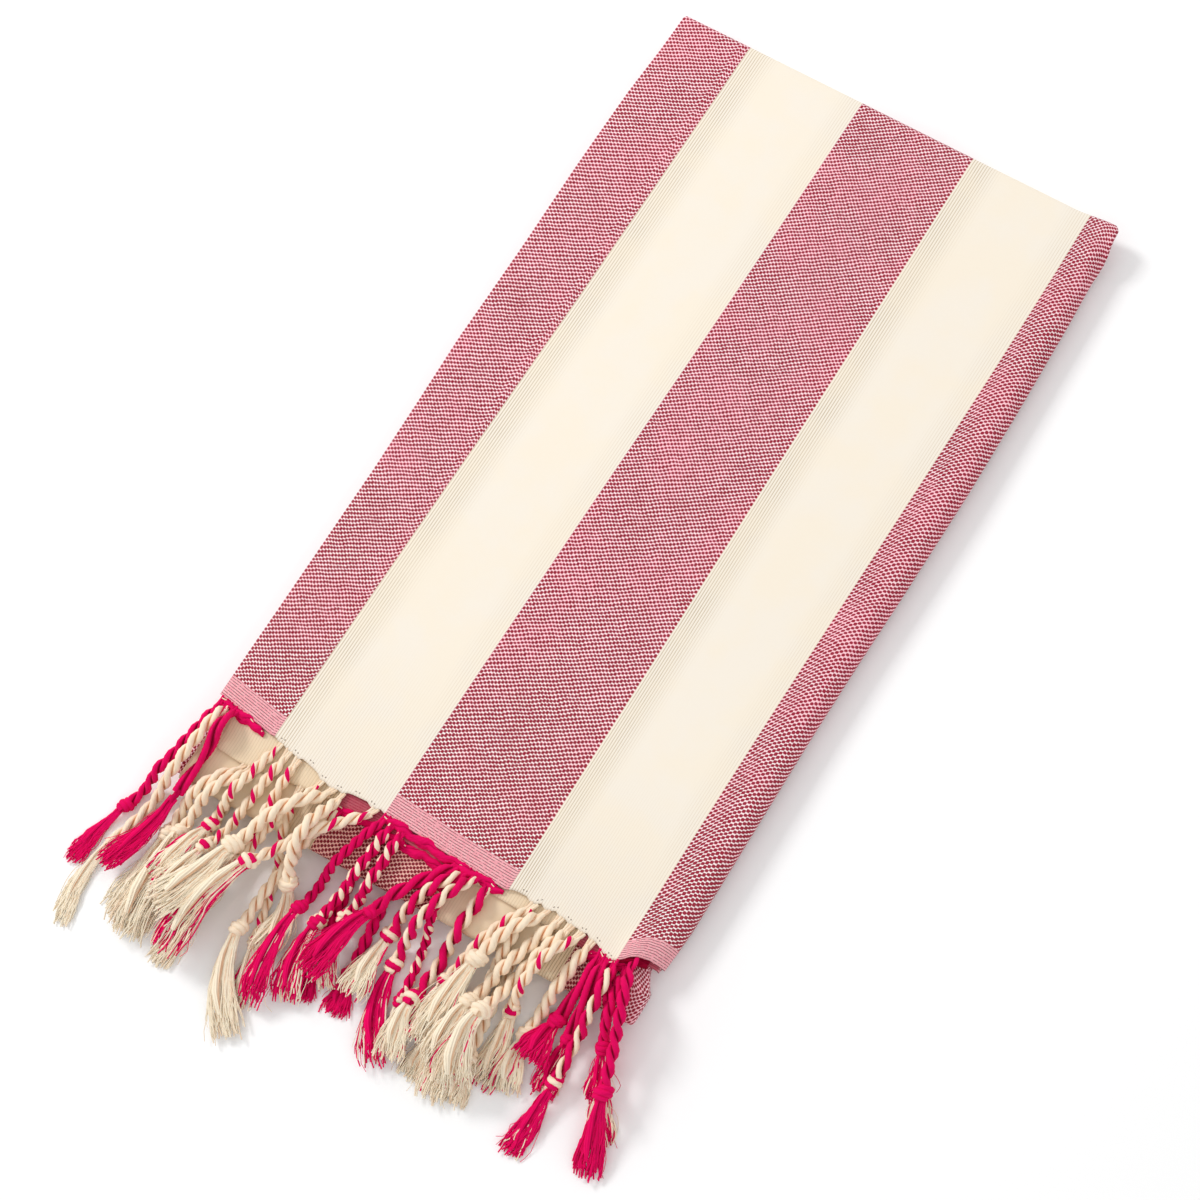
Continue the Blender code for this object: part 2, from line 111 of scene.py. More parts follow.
def linear(colour: str) -> tuple[float, float, float, float]:
    """Turns an sRGB hex colour into a linear one.

    Args:
        colour: Six hex digits, with or without a leading #.

    Returns:
        Red, green, blue and an alpha of 1.
    """
    digits = colour.lstrip("#")
    channels = [int(digits[i : i + 2], 16) / 255 for i in (0, 2, 4)]
    made = [c / 12.92 if c <= 0.04045 else ((c + 0.055) / 1.055) ** 2.4 for c in channels]
    return (made[0], made[1], made[2], 1.0)


def add_node(tree: bpy.types.NodeTree, kind: str, inputs: dict | None = None, **settings) -> bpy.types.Node:
    """Adds a node with its settings and links.

    Args:
        tree: The shader or geometry tree.
        kind: The node's type name.
        inputs: Values or fields by the input's name or index.
        **settings: The node's own properties.

    Returns:
        The new node.
    """
    node = tree.nodes.new(kind)
    for name, value in settings.items():
        setattr(node, name, value)
    for key, value in (inputs or {}).items():
        if isinstance(value, Field):
            tree.links.new(value.socket, node.inputs[key])
        else:
            node.inputs[key].default_value = value
    return node


class Field:
    """One result in a node tree. Arithmetic on it adds math nodes."""

    def __init__(self, nodes: Nodes, socket: bpy.types.NodeSocket) -> None:
        """Keeps the result, and the nodes that it is one of."""
        self.nodes = nodes
        self.socket = socket

    @property
    def is_vector(self) -> bool:
        """Whether it holds three numbers."""
        return self.socket.type in ("VECTOR", "RGBA")

    def other(self, name: str) -> Field:
        """Another result of the same node."""
        return Field(self.nodes, self.socket.node.outputs[name])

    def __add__(self, value: object) -> Field:
        """This plus a value."""
        return self.nodes.maths("ADD", self, value)

    def __sub__(self, value: object) -> Field:
        """This less a value."""
        return self.nodes.maths("SUBTRACT", self, value)

    def __rsub__(self, value: object) -> Field:
        """A value less this."""
        return self.nodes.maths("SUBTRACT", value, self)

    def __mul__(self, value: object) -> Field:
        """This times a value."""
        return self.nodes.maths("MULTIPLY", self, value)

    def __truediv__(self, value: object) -> Field:
        """This divided by a value."""
        return self.nodes.maths("DIVIDE", self, value)

    def __pow__(self, value: float) -> Field:
        """This to a power."""
        return self.nodes.maths("POWER", self, value)

    def __abs__(self) -> Field:
        """This without its sign."""
        return self.nodes.maths("ABSOLUTE", self)


class Nodes:
    """Adds nodes to one tree and gives their results as fields."""

    def __init__(self, tree: bpy.types.NodeTree) -> None:
        """Keeps the tree."""
        self.tree = tree

    def node(self, kind: str, inputs: dict | None = None, output: str | int = 0, **settings) -> Field:
        """Adds a node and gives one of its results."""
        return Field(self, add_node(self.tree, kind, inputs, **settings).outputs[output])

    def maths(self, operation: str, *values: object, clamp: bool = False) -> Field:
        """A math node over these values. It works on vectors if any value is one."""
        vectors = [isinstance(v, tuple) or isinstance(v, Field) and v.is_vector for v in values]
        inputs = dict(enumerate(values))
        if not any(vectors):
            return self.node("ShaderNodeMath", inputs, operation=operation, use_clamp=clamp)
        if operation == "MULTIPLY" and not all(vectors):
            operation, inputs = "SCALE", {0: values[0], "Scale": values[1]}
        output = "Value" if operation == "DOT_PRODUCT" else 0
        return self.node("ShaderNodeVectorMath", inputs, output, operation=operation)

    def ramp(self, value: Field, low: float, high: float, kind: str = "SMOOTHSTEP") -> Field:
        """0 at low and 1 at high, and level beyond. Low may be the greater one."""
        inputs = {"Value": value, "From Min": low, "From Max": high}
        return self.node("ShaderNodeMapRange", inputs, interpolation_type=kind)

    def blend(self, share: Field, first: object, second: object) -> Field:
        """A number between two."""
        return self.node("ShaderNodeMix", {"Factor": share, "A": first, "B": second})

    def mixed(self, share: Field, first: object, second: object) -> Field:
        """A colour between two, each of which is a hex value or a field."""
        pair = [linear(colour) if isinstance(colour, str) else colour for colour in (first, second)]
        return self.node("ShaderNodeMix", {0: share, 6: pair[0], 7: pair[1]}, 2, data_type="RGBA")

    def noise(self, place: Field, scale: float, detail: float) -> Field:
        """Soft noise from 0 to 1."""
        return self.node("ShaderNodeTexNoise", {"Vector": place, "Scale": scale, "Detail": detail})


class Paint(Nodes):
    """A new material with one shader, and the nodes that feed it."""

    def __init__(self, name: str, roughness: float, specular: float, sheen: float = 0.0) -> None:
        """Makes the material and sets what is even over all of it."""
        self.material = bpy.data.materials.new(name)
        self.material.use_nodes = True
        super().__init__(self.material.node_tree)
        self.shader = self.tree.nodes["Principled BSDF"]
        self.shader.inputs["Roughness"].default_value = roughness
        self.shader.inputs["Specular IOR Level"].default_value = specular
        self.shader.inputs["Sheen Weight"].default_value = sheen

    def finish(self, colour: Field, height: Field, strength: float, depth: float) -> bpy.types.Material:
        """Links the colour and the fine relief to the shader and gives the material."""
        self.tree.links.new(colour.socket, self.shader.inputs["Base Color"])
        raised = self.node("ShaderNodeBump", {"Height": height, "Strength": strength, "Distance": depth})
        self.tree.links.new(raised.socket, self.shader.inputs["Normal"])
        return self.material


# ---------------------------------------------------------------- finishes


class ClothPlace:
    """What the woven finish reads at a point: its flat place in millimetres, the unevenness there, and the
    lower ply's share of painted shade.
    """

    UPPER_PLY, LOWER_PLY = (262.0, 258.0), (262.0, 266.0)  # across: the plies' sides of the bend
    UNDER_PAINTED_SHADE = 0.55
    SLOW, FINE = 38.0, 130.0  # scales of the noises
    STRAY, STRAY_FINE = 1.2, 1.6  # how far the rows stray with each, in millimetres

    def __init__(self, nodes: Nodes) -> None:
        """Reads the cloth's own UV map, which holds flat metres, and its noises."""
        flat = nodes.node("ShaderNodeUVMap", uv_map="flat")
        metres = nodes.node("ShaderNodeSeparateXYZ", {0: flat})
        self.across = metres * (1 / MM)
        self.along = metres.other("Y") * (1 / MM)
        self.place = nodes.node("ShaderNodeTexCoord", output="Object")
        self.cloud = nodes.noise(self.place, self.SLOW, 3.0)
        fine = nodes.noise(self.place, self.FINE, 1.0)
        self.drift = (self.cloud - 0.5) * self.STRAY + (fine - 0.5) * self.STRAY_FINE
        # Painted shade: the lower ply lies in the upper ply's shadow, so its colours are mixed this far
        # towards darker, warmer ones.
        self.under = nodes.ramp(self.across, *self.LOWER_PLY) * self.UNDER_PAINTED_SHADE


@dataclass(frozen=True)
class WovenCotton:
    """Cotton cloth, flat-woven: dots of dyed weft on pale warp in the fuchsia stripes, ribs in the cream.

    The weave reads the cloth's own flat map: across the stripes, and along them from the hem.
    Lengths here are in millimetres. The rib grooves, the hem's holes and the lower ply carry painted shade,
    and the hem band carries painted highlights.
    """

    slot: str = "woven cotton"
    cream: str = "#F5EAD8"
    cream_cool: str = "#F3EBDF"
    cream_painted_shade: str = "#E6C795"  # painted shade: the lower ply's cream, darker and warmer as it lies in shadow
    groove: str = "#B39766"
    hole: str = "#5B4030"
    pale: str = "#FFE2E6"
    bright: str = "#FFF5F3"
    blush: str = "#FF96AB"
    rosy: str = "#FFB8C4"
    pale_painted_shade: str = "#E8A67E"
    dark: str = "#9A002A"
    dark_painted_shade: str = "#700012"
    band: str = "#F2A4AD"
    band_line: str = "#75142F"
    band_painted_highlight: str = "#FFDFDC"
    band_painted_shade: str = "#A80E38"
    stripe: float = STRIPE / MM
    first_stripe: float = FIRST_STRIPE / MM
    warp: float = 1.40  # from one rib or column of dots to the next
    repeat: float = 2.30  # from dot to dot along a column
    stagger: float = 0.42  # share of the repeat by which each column is set off
    dot: float = 0.74  # a dot's radius along the stripe
    dot_width: float = 0.85
    dot_edge: float = 0.07  # half its soft edge
    dot_slow: float = 0.35  # how much its size varies slowly, and from dot to dot
    dot_chance: float = 0.2
    hem_dots: Span = (150.0, 15.0)  # along: where the dots grow towards the hem
    hem_dots_more: float = 0.08
    bright_hem: Span = (170.0, 15.0)  # and the warp between them is brighter
    rosy_cloud: Span = (0.64, 0.34)
    between: Span = (0.66, 0.92)  # from a dot's middle: where the warp is brightest
    side_lines: Span = (246.0, 255.0)  # across: where the dots run together, to the bend
    side_end: Span = (264.0, 258.0)  # across: past the bend they are round again
    side_far: Span = (440.0, 400.0)  # along: and so they are near the far fold
    side_share: float = 0.55  # how much of the way from round to lines they go
    rib_edge: Span = (0.27, 0.48)  # from a rib's middle: the groove's soft edge
    ribs_beside: Span = (20.0, 5.0)  # where the ribs deepen beside the fuchsia, on one
    ribs_edge: Span = (16.0, 3.0)  # side more than on the other, and at the hem
    ribs_hem: Span = (90.0, 5.0)
    ribs_edge_depth: float = 0.4
    ribs_hem_depth: float = 0.42
    groove_least: float = 0.2  # their depth also changes slowly, from this by as much as this
    groove_slow: float = 0.9
    cool_cloud: Span = (0.35, 0.65)  # slow patches of a cooler cream
    cool_share: float = 0.6
    hole_step: float = 9.0  # from pair to pair
    hole_apart: float = 0.1  # share of the step between the holes of a pair
    hole_along: float = 2.0  # behind the hem
    hole_radius: Span = (0.5, 0.3)
    hole_painted_shade: float = 0.7
    hem: float = 11.0  # width of the plain woven band
    hem_line: float = 1.25  # the real lines are nearer 0.9 mm apart, too fine to show
    line_edge: Span = (0.3, 0.46)  # from the middle between two dark lines
    line_stray: float = 0.3
    line_broken: Span = (0.25, 0.5)  # the noise of single threads breaks the dark lines
    # Painted highlights: glint and glint_broken place pale glints beside the dark lines.
    glint: Span = (0.12, 0.3)  # and the pale glints beside them
    glint_broken: Span = (0.45, 0.6)
    glint_share: float = 0.3
    thread_scale: float = 1100.0

    def material(self) -> bpy.types.Material:
        """Builds the woven material: dots, ribs and hem band, each with its relief."""
        paint = Paint(self.slot, roughness=0.92, specular=0.15, sheen=0.05)
        at = ClothPlace(paint)
        # An even count of stripe widths is fuchsia.
        counted = (at.across + (self.stripe - self.first_stripe)) / self.stripe
        within = paint.maths("FRACT", counted)
        dyed = 1.0 - paint.maths("MODULO", paint.maths("FLOOR", counted), 2.0)
        in_hem = paint.ramp(at.along, self.hem + 0.5, self.hem - 0.5)

        dots, dots_relief = self.dots(paint, at)
        band, band_relief = self.hem_band(paint, at)
        ribs, ribs_relief = self.ribs(paint, at, within)
        colour = paint.mixed(dyed, ribs, paint.mixed(in_hem, dots, band))
        colour = paint.mixed(paint.noise(at.place, 700.0, 1.0) * 0.05, colour, "#FFFFFF")
        relief = paint.blend(dyed, ribs_relief, paint.blend(in_hem, dots_relief, band_relief))
        return paint.finish(colour, relief, 0.6, 0.25 * MM)

    def dots(self, paint: Paint, at: ClothPlace) -> tuple[Field, Field]:
        """Staggered dots of dyed weft, with their relief.

        They are round, grow towards the hem, and run into lines where the cloth turns down at the side.
        """
        ramp, mixed = paint.ramp, paint.mixed
        column = at.across / self.warp
        row = (at.along + at.drift) / self.repeat - column * self.stagger
        floors = {0: paint.maths("FLOOR", column), 1: paint.maths("FLOOR", row)}
        cell = paint.node("ShaderNodeCombineXYZ", floors)
        chance = paint.node("ShaderNodeTexWhiteNoise", {"Vector": cell}, "Value", noise_dimensions="2D")
        turned = ramp(at.across, *self.side_lines) * ramp(at.across, *self.side_end)
        turned = turned * (ramp(at.along, *self.side_far) * self.side_share)
        aside = (paint.maths("FRACT", column) - 0.5) * self.warp
        leaned = aside * (self.stagger * self.repeat / self.warp)
        above = (paint.maths("FRACT", row) - 0.5) * self.repeat + leaned * (1.0 - turned)
        aside = aside * (1.0 - turned) * self.dot_width
        reach = paint.maths("SQRT", aside**2.0 + above**2.0)
        size = (at.cloud - 0.5) * self.dot_slow + self.dot + (chance - 0.5) * self.dot_chance
        size = size + ramp(at.along, *self.hem_dots) * self.hem_dots_more + turned * 0.03
        dot = ramp(size - reach, -self.dot_edge, self.dot_edge)
        # In slow patches the dots are small and the warp between them is rosy instead of pale.
        pale = mixed(ramp(at.along, *self.bright_hem), self.pale, self.bright)
        lit = mixed(ramp(at.cloud, *self.rosy_cloud) * 0.5, pale, self.rosy)
        ground = mixed(ramp(reach, *self.between), self.blush, lit)
        # Painted shade: on the lower ply the warp and the dots are mixed towards darker, warmer colours.
        ground = mixed(at.under, ground, self.pale_painted_shade)
        return mixed(dot, ground, mixed(at.under, self.dark, self.dark_painted_shade)), 1.0 - dot

    def ribs(self, paint: Paint, at: ClothPlace, within: Field) -> tuple[Field, Field]:
        """Ribs of the cream stripes, deep beside the fuchsia and towards the hem, with their relief and with
        painted shade in their grooves.
        """
        ramp, mixed = paint.ramp, paint.mixed
        hollow = ramp(abs(paint.maths("FRACT", at.across / self.warp) - 0.5), *self.rib_edge)
        edge = paint.maths("MINIMUM", within, 1.0 - within) * self.stripe
        beside = ramp(within * self.stripe, *self.ribs_beside)
        deep = paint.maths("MAXIMUM", beside, ramp(edge, *self.ribs_edge) * self.ribs_edge_depth)
        deep = paint.maths("MAXIMUM", deep, ramp(at.along, *self.ribs_hem) * self.ribs_hem_depth)
        deep = deep * (at.cloud * self.groove_slow + self.groove_least)
        # Painted shade: the grooves between the ribs are painted a darker tan, deepest beside the fuchsia and
        # at the hem.
        groove = paint.maths("MULTIPLY", hollow, deep, clamp=True)
        plain = mixed(ramp(at.cloud, *self.cool_cloud) * self.cool_share, self.cream, self.cream_cool)
        # Painted shade: the lower ply's cream is mixed towards a darker, warmer one.
        plain = mixed(groove, mixed(at.under, plain, self.cream_painted_shade), self.groove)
        # Pairs of small holes beside the hem, where the warp is drawn together. Their dark spots are painted
        # shade, the shade seen through each hole.
        pair = abs(paint.maths("FRACT", at.across / self.hole_step) - 0.5)
        pair = (pair - self.hole_apart) * self.hole_step
        hole = paint.maths("SQRT", pair**2.0 + (at.along - self.hole_along) ** 2.0)
        hole = ramp(hole, *self.hole_radius) * ramp(at.across, *at.UPPER_PLY)
        return mixed(hole * self.hole_painted_shade, plain, self.hole), 1.0 - groove

    def hem_band(self, paint: Paint, at: ClothPlace) -> tuple[Field, Field]:
        """Plain woven band at the hem of the fuchsia stripes, with its relief, painted highlights beside its
        dark lines, and painted shade on the lower ply.
        """
        ramp, mixed = paint.ramp, paint.mixed
        line = paint.maths("FRACT", (at.along + at.drift * self.line_stray) / self.hem_line)
        lined = ramp(abs(line - 0.5), *self.line_edge)
        broken = paint.noise(at.place, self.thread_scale, 0.0)
        # Painted highlights: pale glints just past each dark line.
        lit = ramp(line, *self.glint) * ramp(broken, *self.glint_broken)
        band = mixed(lit * self.glint_share, self.band, self.band_painted_highlight)
        band = mixed(lined * ramp(broken, *self.line_broken), band, self.band_line)
        # Painted shade: on the lower ply the band is mixed towards a dark crimson.
        return mixed(at.under * 1.5, band, self.band_painted_shade), 1.0 - lined


@dataclass(frozen=True)
class TwistedYarn:
    """Cotton yarn, dyed and twisted: each cord reads its own attributes for its dye and its flecks.

    "dye" runs from 0, cream, to 1, fuchsia. "fleck" says how wide the pointed flecks of the other
    colour are, "mark" where they lie along a strand and "out" how far a point faces outwards on its
    cord. "around" and "along" place a point on its strand, and "shade" deepens its colour: painted
    shade in knot cores and inside the hem's arch, and tone that differs from strand to strand elsewhere.
    """

    slot: str
    cream: str = "#FFF2DA"
    cream_deep: str = "#E6AE80"
    fuchsia: str = "#F20A66"
    fuchsia_deep: str = "#8C0028"
    fibres: tuple[float, float] = (260.0, 26.0)  # how fine they are along a strand and round it
    fibre_depth: float = 0.6
    cloud_depth: float = 0.72  # of slow patches, less what lies on the fibres
    cloud_scale: float = 160.0
    valley: Span = (-0.05, -0.6)  # how far inwards a point faces in the cord's valleys, where painted shade deepens the colour
    valley_painted_shade: float = 0.7
    shade_depth: float = 0.8
    fleck_width: float = 1.6

    def material(self) -> bpy.types.Material:
        """Builds the yarn material: fibres along each strand, and painted shade in the cord's valleys."""
        paint = Paint(self.slot, roughness=0.85, specular=0.06, sheen=0.02)

        def read(name: str) -> Field:
            """The float attribute of this name."""
            return paint.node("ShaderNodeAttribute", output="Fac", attribute_name=name)

        marked = read("fleck") * read("mark") * self.fleck_width
        fleck = paint.maths("GREATER_THAN", read("out"), 1.0 - marked)
        dye = abs(read("dye") - fleck)
        along, around = (read(way) * fine for way, fine in zip(("along", "around"), self.fibres))
        fibres = paint.node("ShaderNodeCombineXYZ", {0: along, 1: around, 2: read("dye")})
        lines = paint.noise(fibres, 1.0, 2.0)
        cloud = paint.noise(paint.node("ShaderNodeTexCoord", output="Object"), self.cloud_scale, 2.0)
        # Painted shade: points facing inwards, in the valleys between the plies, are painted deeper.
        valley = paint.ramp(read("out"), *self.valley, "LINEAR")
        depth = (self.cloud_depth - lines * self.fibre_depth) * cloud + valley * self.valley_painted_shade
        depth = paint.maths("ADD", depth, read("shade") * self.shade_depth, clamp=True)
        cream = paint.mixed(depth, self.cream, self.cream_deep)
        fuchsia = paint.mixed(depth, self.fuchsia, self.fuchsia_deep)
        return paint.finish(paint.mixed(dye, cream, fuchsia), lines, 0.5, 0.3 * MM)


@dataclass(frozen=True)
class PaperFloor:
    """White paper sweep, matt, which gives a pale floor with one soft shadow."""

    name: str = "white paper"
    colour: str = "#FFFFFF"

    def material(self) -> bpy.types.Material:
        """Builds the floor's material."""
        paint = Paint(self.name, roughness=1.0, specular=0.0)
        paint.shader.inputs["Base Color"].default_value = linear(self.colour)
        return paint.material


# ---------------------------------------------------------------- cloth


@dataclass
class FoldedCloth:
    """The sheet, folded once across its width and then back and forth in four doubled runs."""

    sheet: float = 1.3 * MM  # its thickness
    pitch: float = 2.0 * MM  # from one ply's middle to the other's
    left: float = -125 * MM
    right: float = 125.5 * MM
    half_length: float = 215 * MM
    stack_right: float = 120 * MM  # the side of the runs below the top one
    ply_b_inset: float = 3 * MM  # how far the lower ply's left edge lies inwards
    hem_inset: float = 8 * MM  # and what the top hem adds to that, between these two y
    hem_inset_from: float = -165 * MM
    hem_inset_full: float = -208 * MM
    flare: float = 6.5 * MM  # how far the lower runs' side comes out at the near fold
    flare_from: float = -217 * MM
    flare_length: float = 8 * MM
    uneven: float = 0.055  # share of its height by which the stack swells
    droop_radius: float = 5.95 * MM  # where the top run's side turns down
    droop_length: float = 11.4 * MM
    droop_start: float = 208 * MM
    droop_full: float = 184 * MM
    arch_x: float = 111 * MM  # the upper hem's arch at its right corner
    arch_width: float = 6 * MM
    arch_height: float = 2.6 * MM
    arch_start: float = -188 * MM
    arch_full: float = -214 * MM
    arch_back: float = 2.8 * MM  # how far the hem is drawn back in it
    scallop: float = 1.7 * MM  # and between the cords
    flat_columns: int = 96
    droop_steps: int = 9
    bend_steps: int = 7
    fold_steps: int = 8

    # Soft swells of the stack: height, waves across and along, in turns a metre, and where they start.
    SWELLS = ((0.6, 1 / 0.31, 1 / 0.52, 0.8), (0.4, -1 / 0.42, 1 / 0.19, 2.1))
    # Height of each doubled run's middle and its left edge, in millimetres, from the top down.
    RUNS = ((13.65, -125.0), (9.65, -123.5), (5.65, -124.5), (1.65, -122.5))
    # Ends and folds of the cloth as seen from above: x and y in millimetres.
    HEM_A = (
        *((-125, -214.0), (-90, -217.6), (-54, -223.5), (-22, -219.6), (12, -220.0), (45, -219.2)),
        *((72, -216.2), (92, -217.6), (103, -220.6), (111, -216.0), (118, -214.0), (126, -214.0)),
    )
    HEM_B = (
        *((-125, -236.0), (-98, -236.5), (-60, -229.5), (-20, -226.0)),
        *((90, -222.6), (112, -217.5), (118, -213.5), (126, -213.0)),
    )
    NEAR_FOLD = ((-125, -258.5), (125, -240.0))
    FAR_FOLD_TOP = ((-125, 214.5), (104, 214.8), (118, 216.4), (125, 216.8))
    FAR_FOLD_LOW = ((-125, 212.0), (125, 213.2))
    LOW_HEM = ((-125, -225.0), (0, -228.0), (125, -224.0))
    # How far the left and the right side bow out along the stack: y, left, right in millimetres.
    SIDES = (
        *((-214, 1.2, -0.8), (-204, 1.3, 0.2), (-190, 1.5, 1.2), (-80, 1.6, 1.3), (-40, 2.6, 2.0)),
        *((0, 4.0, 3.2), (60, 3.5, 4.3), (110, 3.8, 4.0), (160, 3.3, 3.0), (190, 1.7, 1.8), (214, 1.2, 0.6)),
    )
    # Where the stripes change colour on the top ply, in millimetres, at the hem and at the far fold.
    TOP_CHANGES = ((-91.2, -24.6, 45.0, 104.8), (-86.4, -19.5, 44.7, 110.3))
    UNDER_CHANGES = (85.0, 19.0, -47.0, -124.0)
    # Between these the hem is cream, and its edge is drawn back between the cords.
    CREAM_HEMS = ((-91, -24.6), (45, 100))
    # Rows near the top hem, in millimetres from it along the top run, and that run's length.
    HEM_ROWS = (0.0, 1.5, 3.0, 4.5, 6.0, 8.0, 10.0, 12.5, 15.0, 18.0, 21.0, 24.5)
    AFTER_HEM_ROWS = 28
    TOP_RUN = 430
    # Shares of a lower run's length at which it has rows near either end, and between them.
    END_ROWS = (0.0, 0.01, 0.025, 0.05, 0.08)
    INNER_ROWS = (0.12, 0.88, 14)

    @staticmethod
    def line(points: tuple, x: np.ndarray | float) -> np.ndarray:
        """The y of an end or a fold at x, in metres."""
        table = np.array(points) * MM
        return np.interp(x, table[:, 0], table[:, 1])

    def settled(self, x: np.ndarray, y: np.ndarray, z: np.ndarray) -> np.ndarray:
        """Height of an even stack with its soft swells added. The lowest layer stays flat."""
        waves = [high * np.sin(math.tau * (x * wide + y * deep) + at) for high, wide, deep, at in self.SWELLS]
        return z + (z - self.sheet / 2) * self.uneven * sum(waves)

    def bowed(self, x: np.ndarray, y: np.ndarray) -> np.ndarray:
        """x with both sides' bows added. Each fades out towards the other side."""
        ys, lefts, rights = np.array(self.SIDES).T * MM
        share = (x - self.left) / (self.right - self.left)
        return x - np.interp(y, ys, lefts) * (1 - share) + np.interp(y, ys, rights) * share

    def arch(self, x: np.ndarray, y: np.ndarray) -> np.ndarray:
        """How far the upper hem lifts beside its right corner."""
        full = self.arch_height * smooth(y, self.arch_start, self.arch_full)
        return full * bump(x, self.arch_x, self.arch_width)

    def worn(self, x: np.ndarray, past: np.ndarray) -> np.ndarray:
        """How far the upper hem's edge is drawn back, between the cords and in the arch.

        Args:
            x: Places along the hem.
            past: How far behind the hem each point lies. The effect fades out over 9 mm.

        Returns:
            The shift of each point.
        """
        roots = np.array([cord.root for cord in TOP_CORDS])
        x, past = x / MM, past / MM
        apart = np.abs(x[:, None] - roots).min(axis=1)
        cream = sum(smooth(x, a, a + 3) * smooth(x, b, b - 3) for a, b in self.CREAM_HEMS)
        depth = self.scallop * smooth(apart, 1.2, 3.4) * cream
        depth = depth + self.arch_back * smooth(x - self.arch_x / MM, -5, 2)
        return depth * smooth(past, 9, 0)

    def run_ends(self, run: int, x: np.ndarray, ply: np.ndarray) -> tuple[np.ndarray, np.ndarray]:
        """y at the start and the end of a run, at x. ply is 1 on ply A and 0 on ply B."""
        reach = 1.5 * self.pitch + self.sheet / 2
        hem = ply * self.line(self.HEM_A, x) + (1 - ply) * self.line(self.HEM_B, x)
        near = self.line(self.NEAR_FOLD, x) + reach
        far_top = self.line(self.FAR_FOLD_TOP, x) - reach
        far_low = self.line(self.FAR_FOLD_LOW, x) - reach
        ends = ((hem, far_top), (far_top, near), (near, far_low), (far_low, self.line(self.LOW_HEM, x)))
        return ends[run]

    def section(self, run: int, y: float) -> np.ndarray:
        """The sheet's middle across a doubled run near y, from ply A's left edge round the bend.

        Returns:
            Rows of x, height above the run's middle, and share of ply A.
        """
        radius = self.pitch / 2
        left = self.RUNS[run][1] * MM
        if run == 0:
            amount = float(smooth(y, self.droop_start, self.droop_full))
            past = self.droop_radius + (self.droop_length - self.droop_radius) * amount
            start = self.right - self.sheet / 2 - radius - self.droop_radius
        else:
            amount = 0.0
            past = self.droop_radius
            spread = self.flare * float(smooth(y, self.flare_from, self.flare_from - self.flare_length))
            start = self.stack_right + spread - self.sheet / 2 - radius - past

        def place(ahead: float, offset: float) -> tuple[float, float]:
            """A point this far past the start of the droop, and this far off the run's middle."""
            if ahead <= 0:
                return start + ahead, offset
            tilt = min(min(ahead, past) / self.droop_radius, amount * math.pi / 2)
            on = min(ahead, past) - tilt * self.droop_radius + max(0.0, ahead - past)
            x = self.droop_radius * math.sin(tilt) + on * math.cos(tilt) + offset * math.sin(tilt)
            height = -self.droop_radius * (1 - math.cos(tilt)) - on * math.sin(tilt) + offset * math.cos(tilt)
            return start + x, height

        shares = np.linspace(0, 1, self.flat_columns, endpoint=False)
        spots = [(share - 1) * (start - left) for share in shares]
        spots += [past * step / self.droop_steps for step in range(self.droop_steps + 1)]
        points = [(*place(ahead, radius), 1.0) for ahead in spots]
        for step in range(1, self.bend_steps):
            angle = math.pi / 2 - math.pi * step / self.bend_steps
            spot = place(past + radius * math.cos(angle), radius * math.sin(angle))
            points.append((*spot, 0.5 + 0.5 * math.sin(angle)))
        inset = self.ply_b_inset
        if run == 0:
            inset += self.hem_inset * float(smooth(y, self.hem_inset_from, self.hem_inset_full))
        for ahead in reversed(spots):
            share = min(1.0, ahead / spots[0])
            points.append((*place(ahead + inset * max(0.0, share), -radius), 0.0))
        return np.array(points)

    def run_shares(self, run: int) -> np.ndarray:
        """Shares of a run's length at which it has a row: close together where it shows."""
        if run == 0:
            hem = np.array(self.HEM_ROWS) / self.TOP_RUN
            return np.concatenate((hem, np.linspace(self.AFTER_HEM_ROWS / self.TOP_RUN, 1.0, 92)))
        ends = np.array(self.END_ROWS)
        return np.concatenate((ends, np.linspace(*self.INNER_ROWS), 1 - ends[::-1]))

    def rows(self, worn: bool = False) -> tuple[np.ndarray, np.ndarray]:
        """The sheet's middle from the top hem to the low hem.

        Args:
            worn: Whether the upper hem's edge is drawn back between the cords.

        Returns:
            Points as (row, column, x y z), and each point's share of ply A.
        """
        points: list[np.ndarray] = []
        plies: list[np.ndarray] = []
        for run in range(len(self.RUNS)):
            way = 1 if run % 2 == 0 else -1
            middle = self.RUNS[run][0] * MM
            start, end = (float(y) for y in self.run_ends(run, self.right, 0.5))
            for share in self.run_shares(run):
                x, offset, ply = self.section(run, start + share * (end - start)).T
                first, last = self.run_ends(run, x, ply)
                y = first + share * (last - first)
                z = self.settled(x, y, middle + way * offset)
                if run == 0:
                    z = z + np.where(ply > 0.5, self.arch(x, y), 0.0)
                if run == 0 and worn:
                    y = y + np.where(ply > 0.5, self.worn(x, y - first), 0.0)
                points.append(np.column_stack((self.bowed(x, y), y, z)))
                plies.append(ply)
            if run == len(self.RUNS) - 1:
                break
            above, below = self.section(run, end), self.section(run + 1, end)
            for step in range(1, self.fold_steps):
                angle = math.pi * step / self.fold_steps
                x = above[:, 0] + (below[:, 0] - above[:, 0]) * step / self.fold_steps
                reach = self.pitch + way * above[:, 1]
                y = self.run_ends(run, x, above[:, 2])[1] + way * reach * math.sin(angle)
                z = self.settled(x, y, middle - self.pitch + reach * math.cos(angle))
                points.append(np.column_stack((self.bowed(x, y), y, z)))
                plies.append(above[:, 2])
        return np.array(points), np.array(plies)

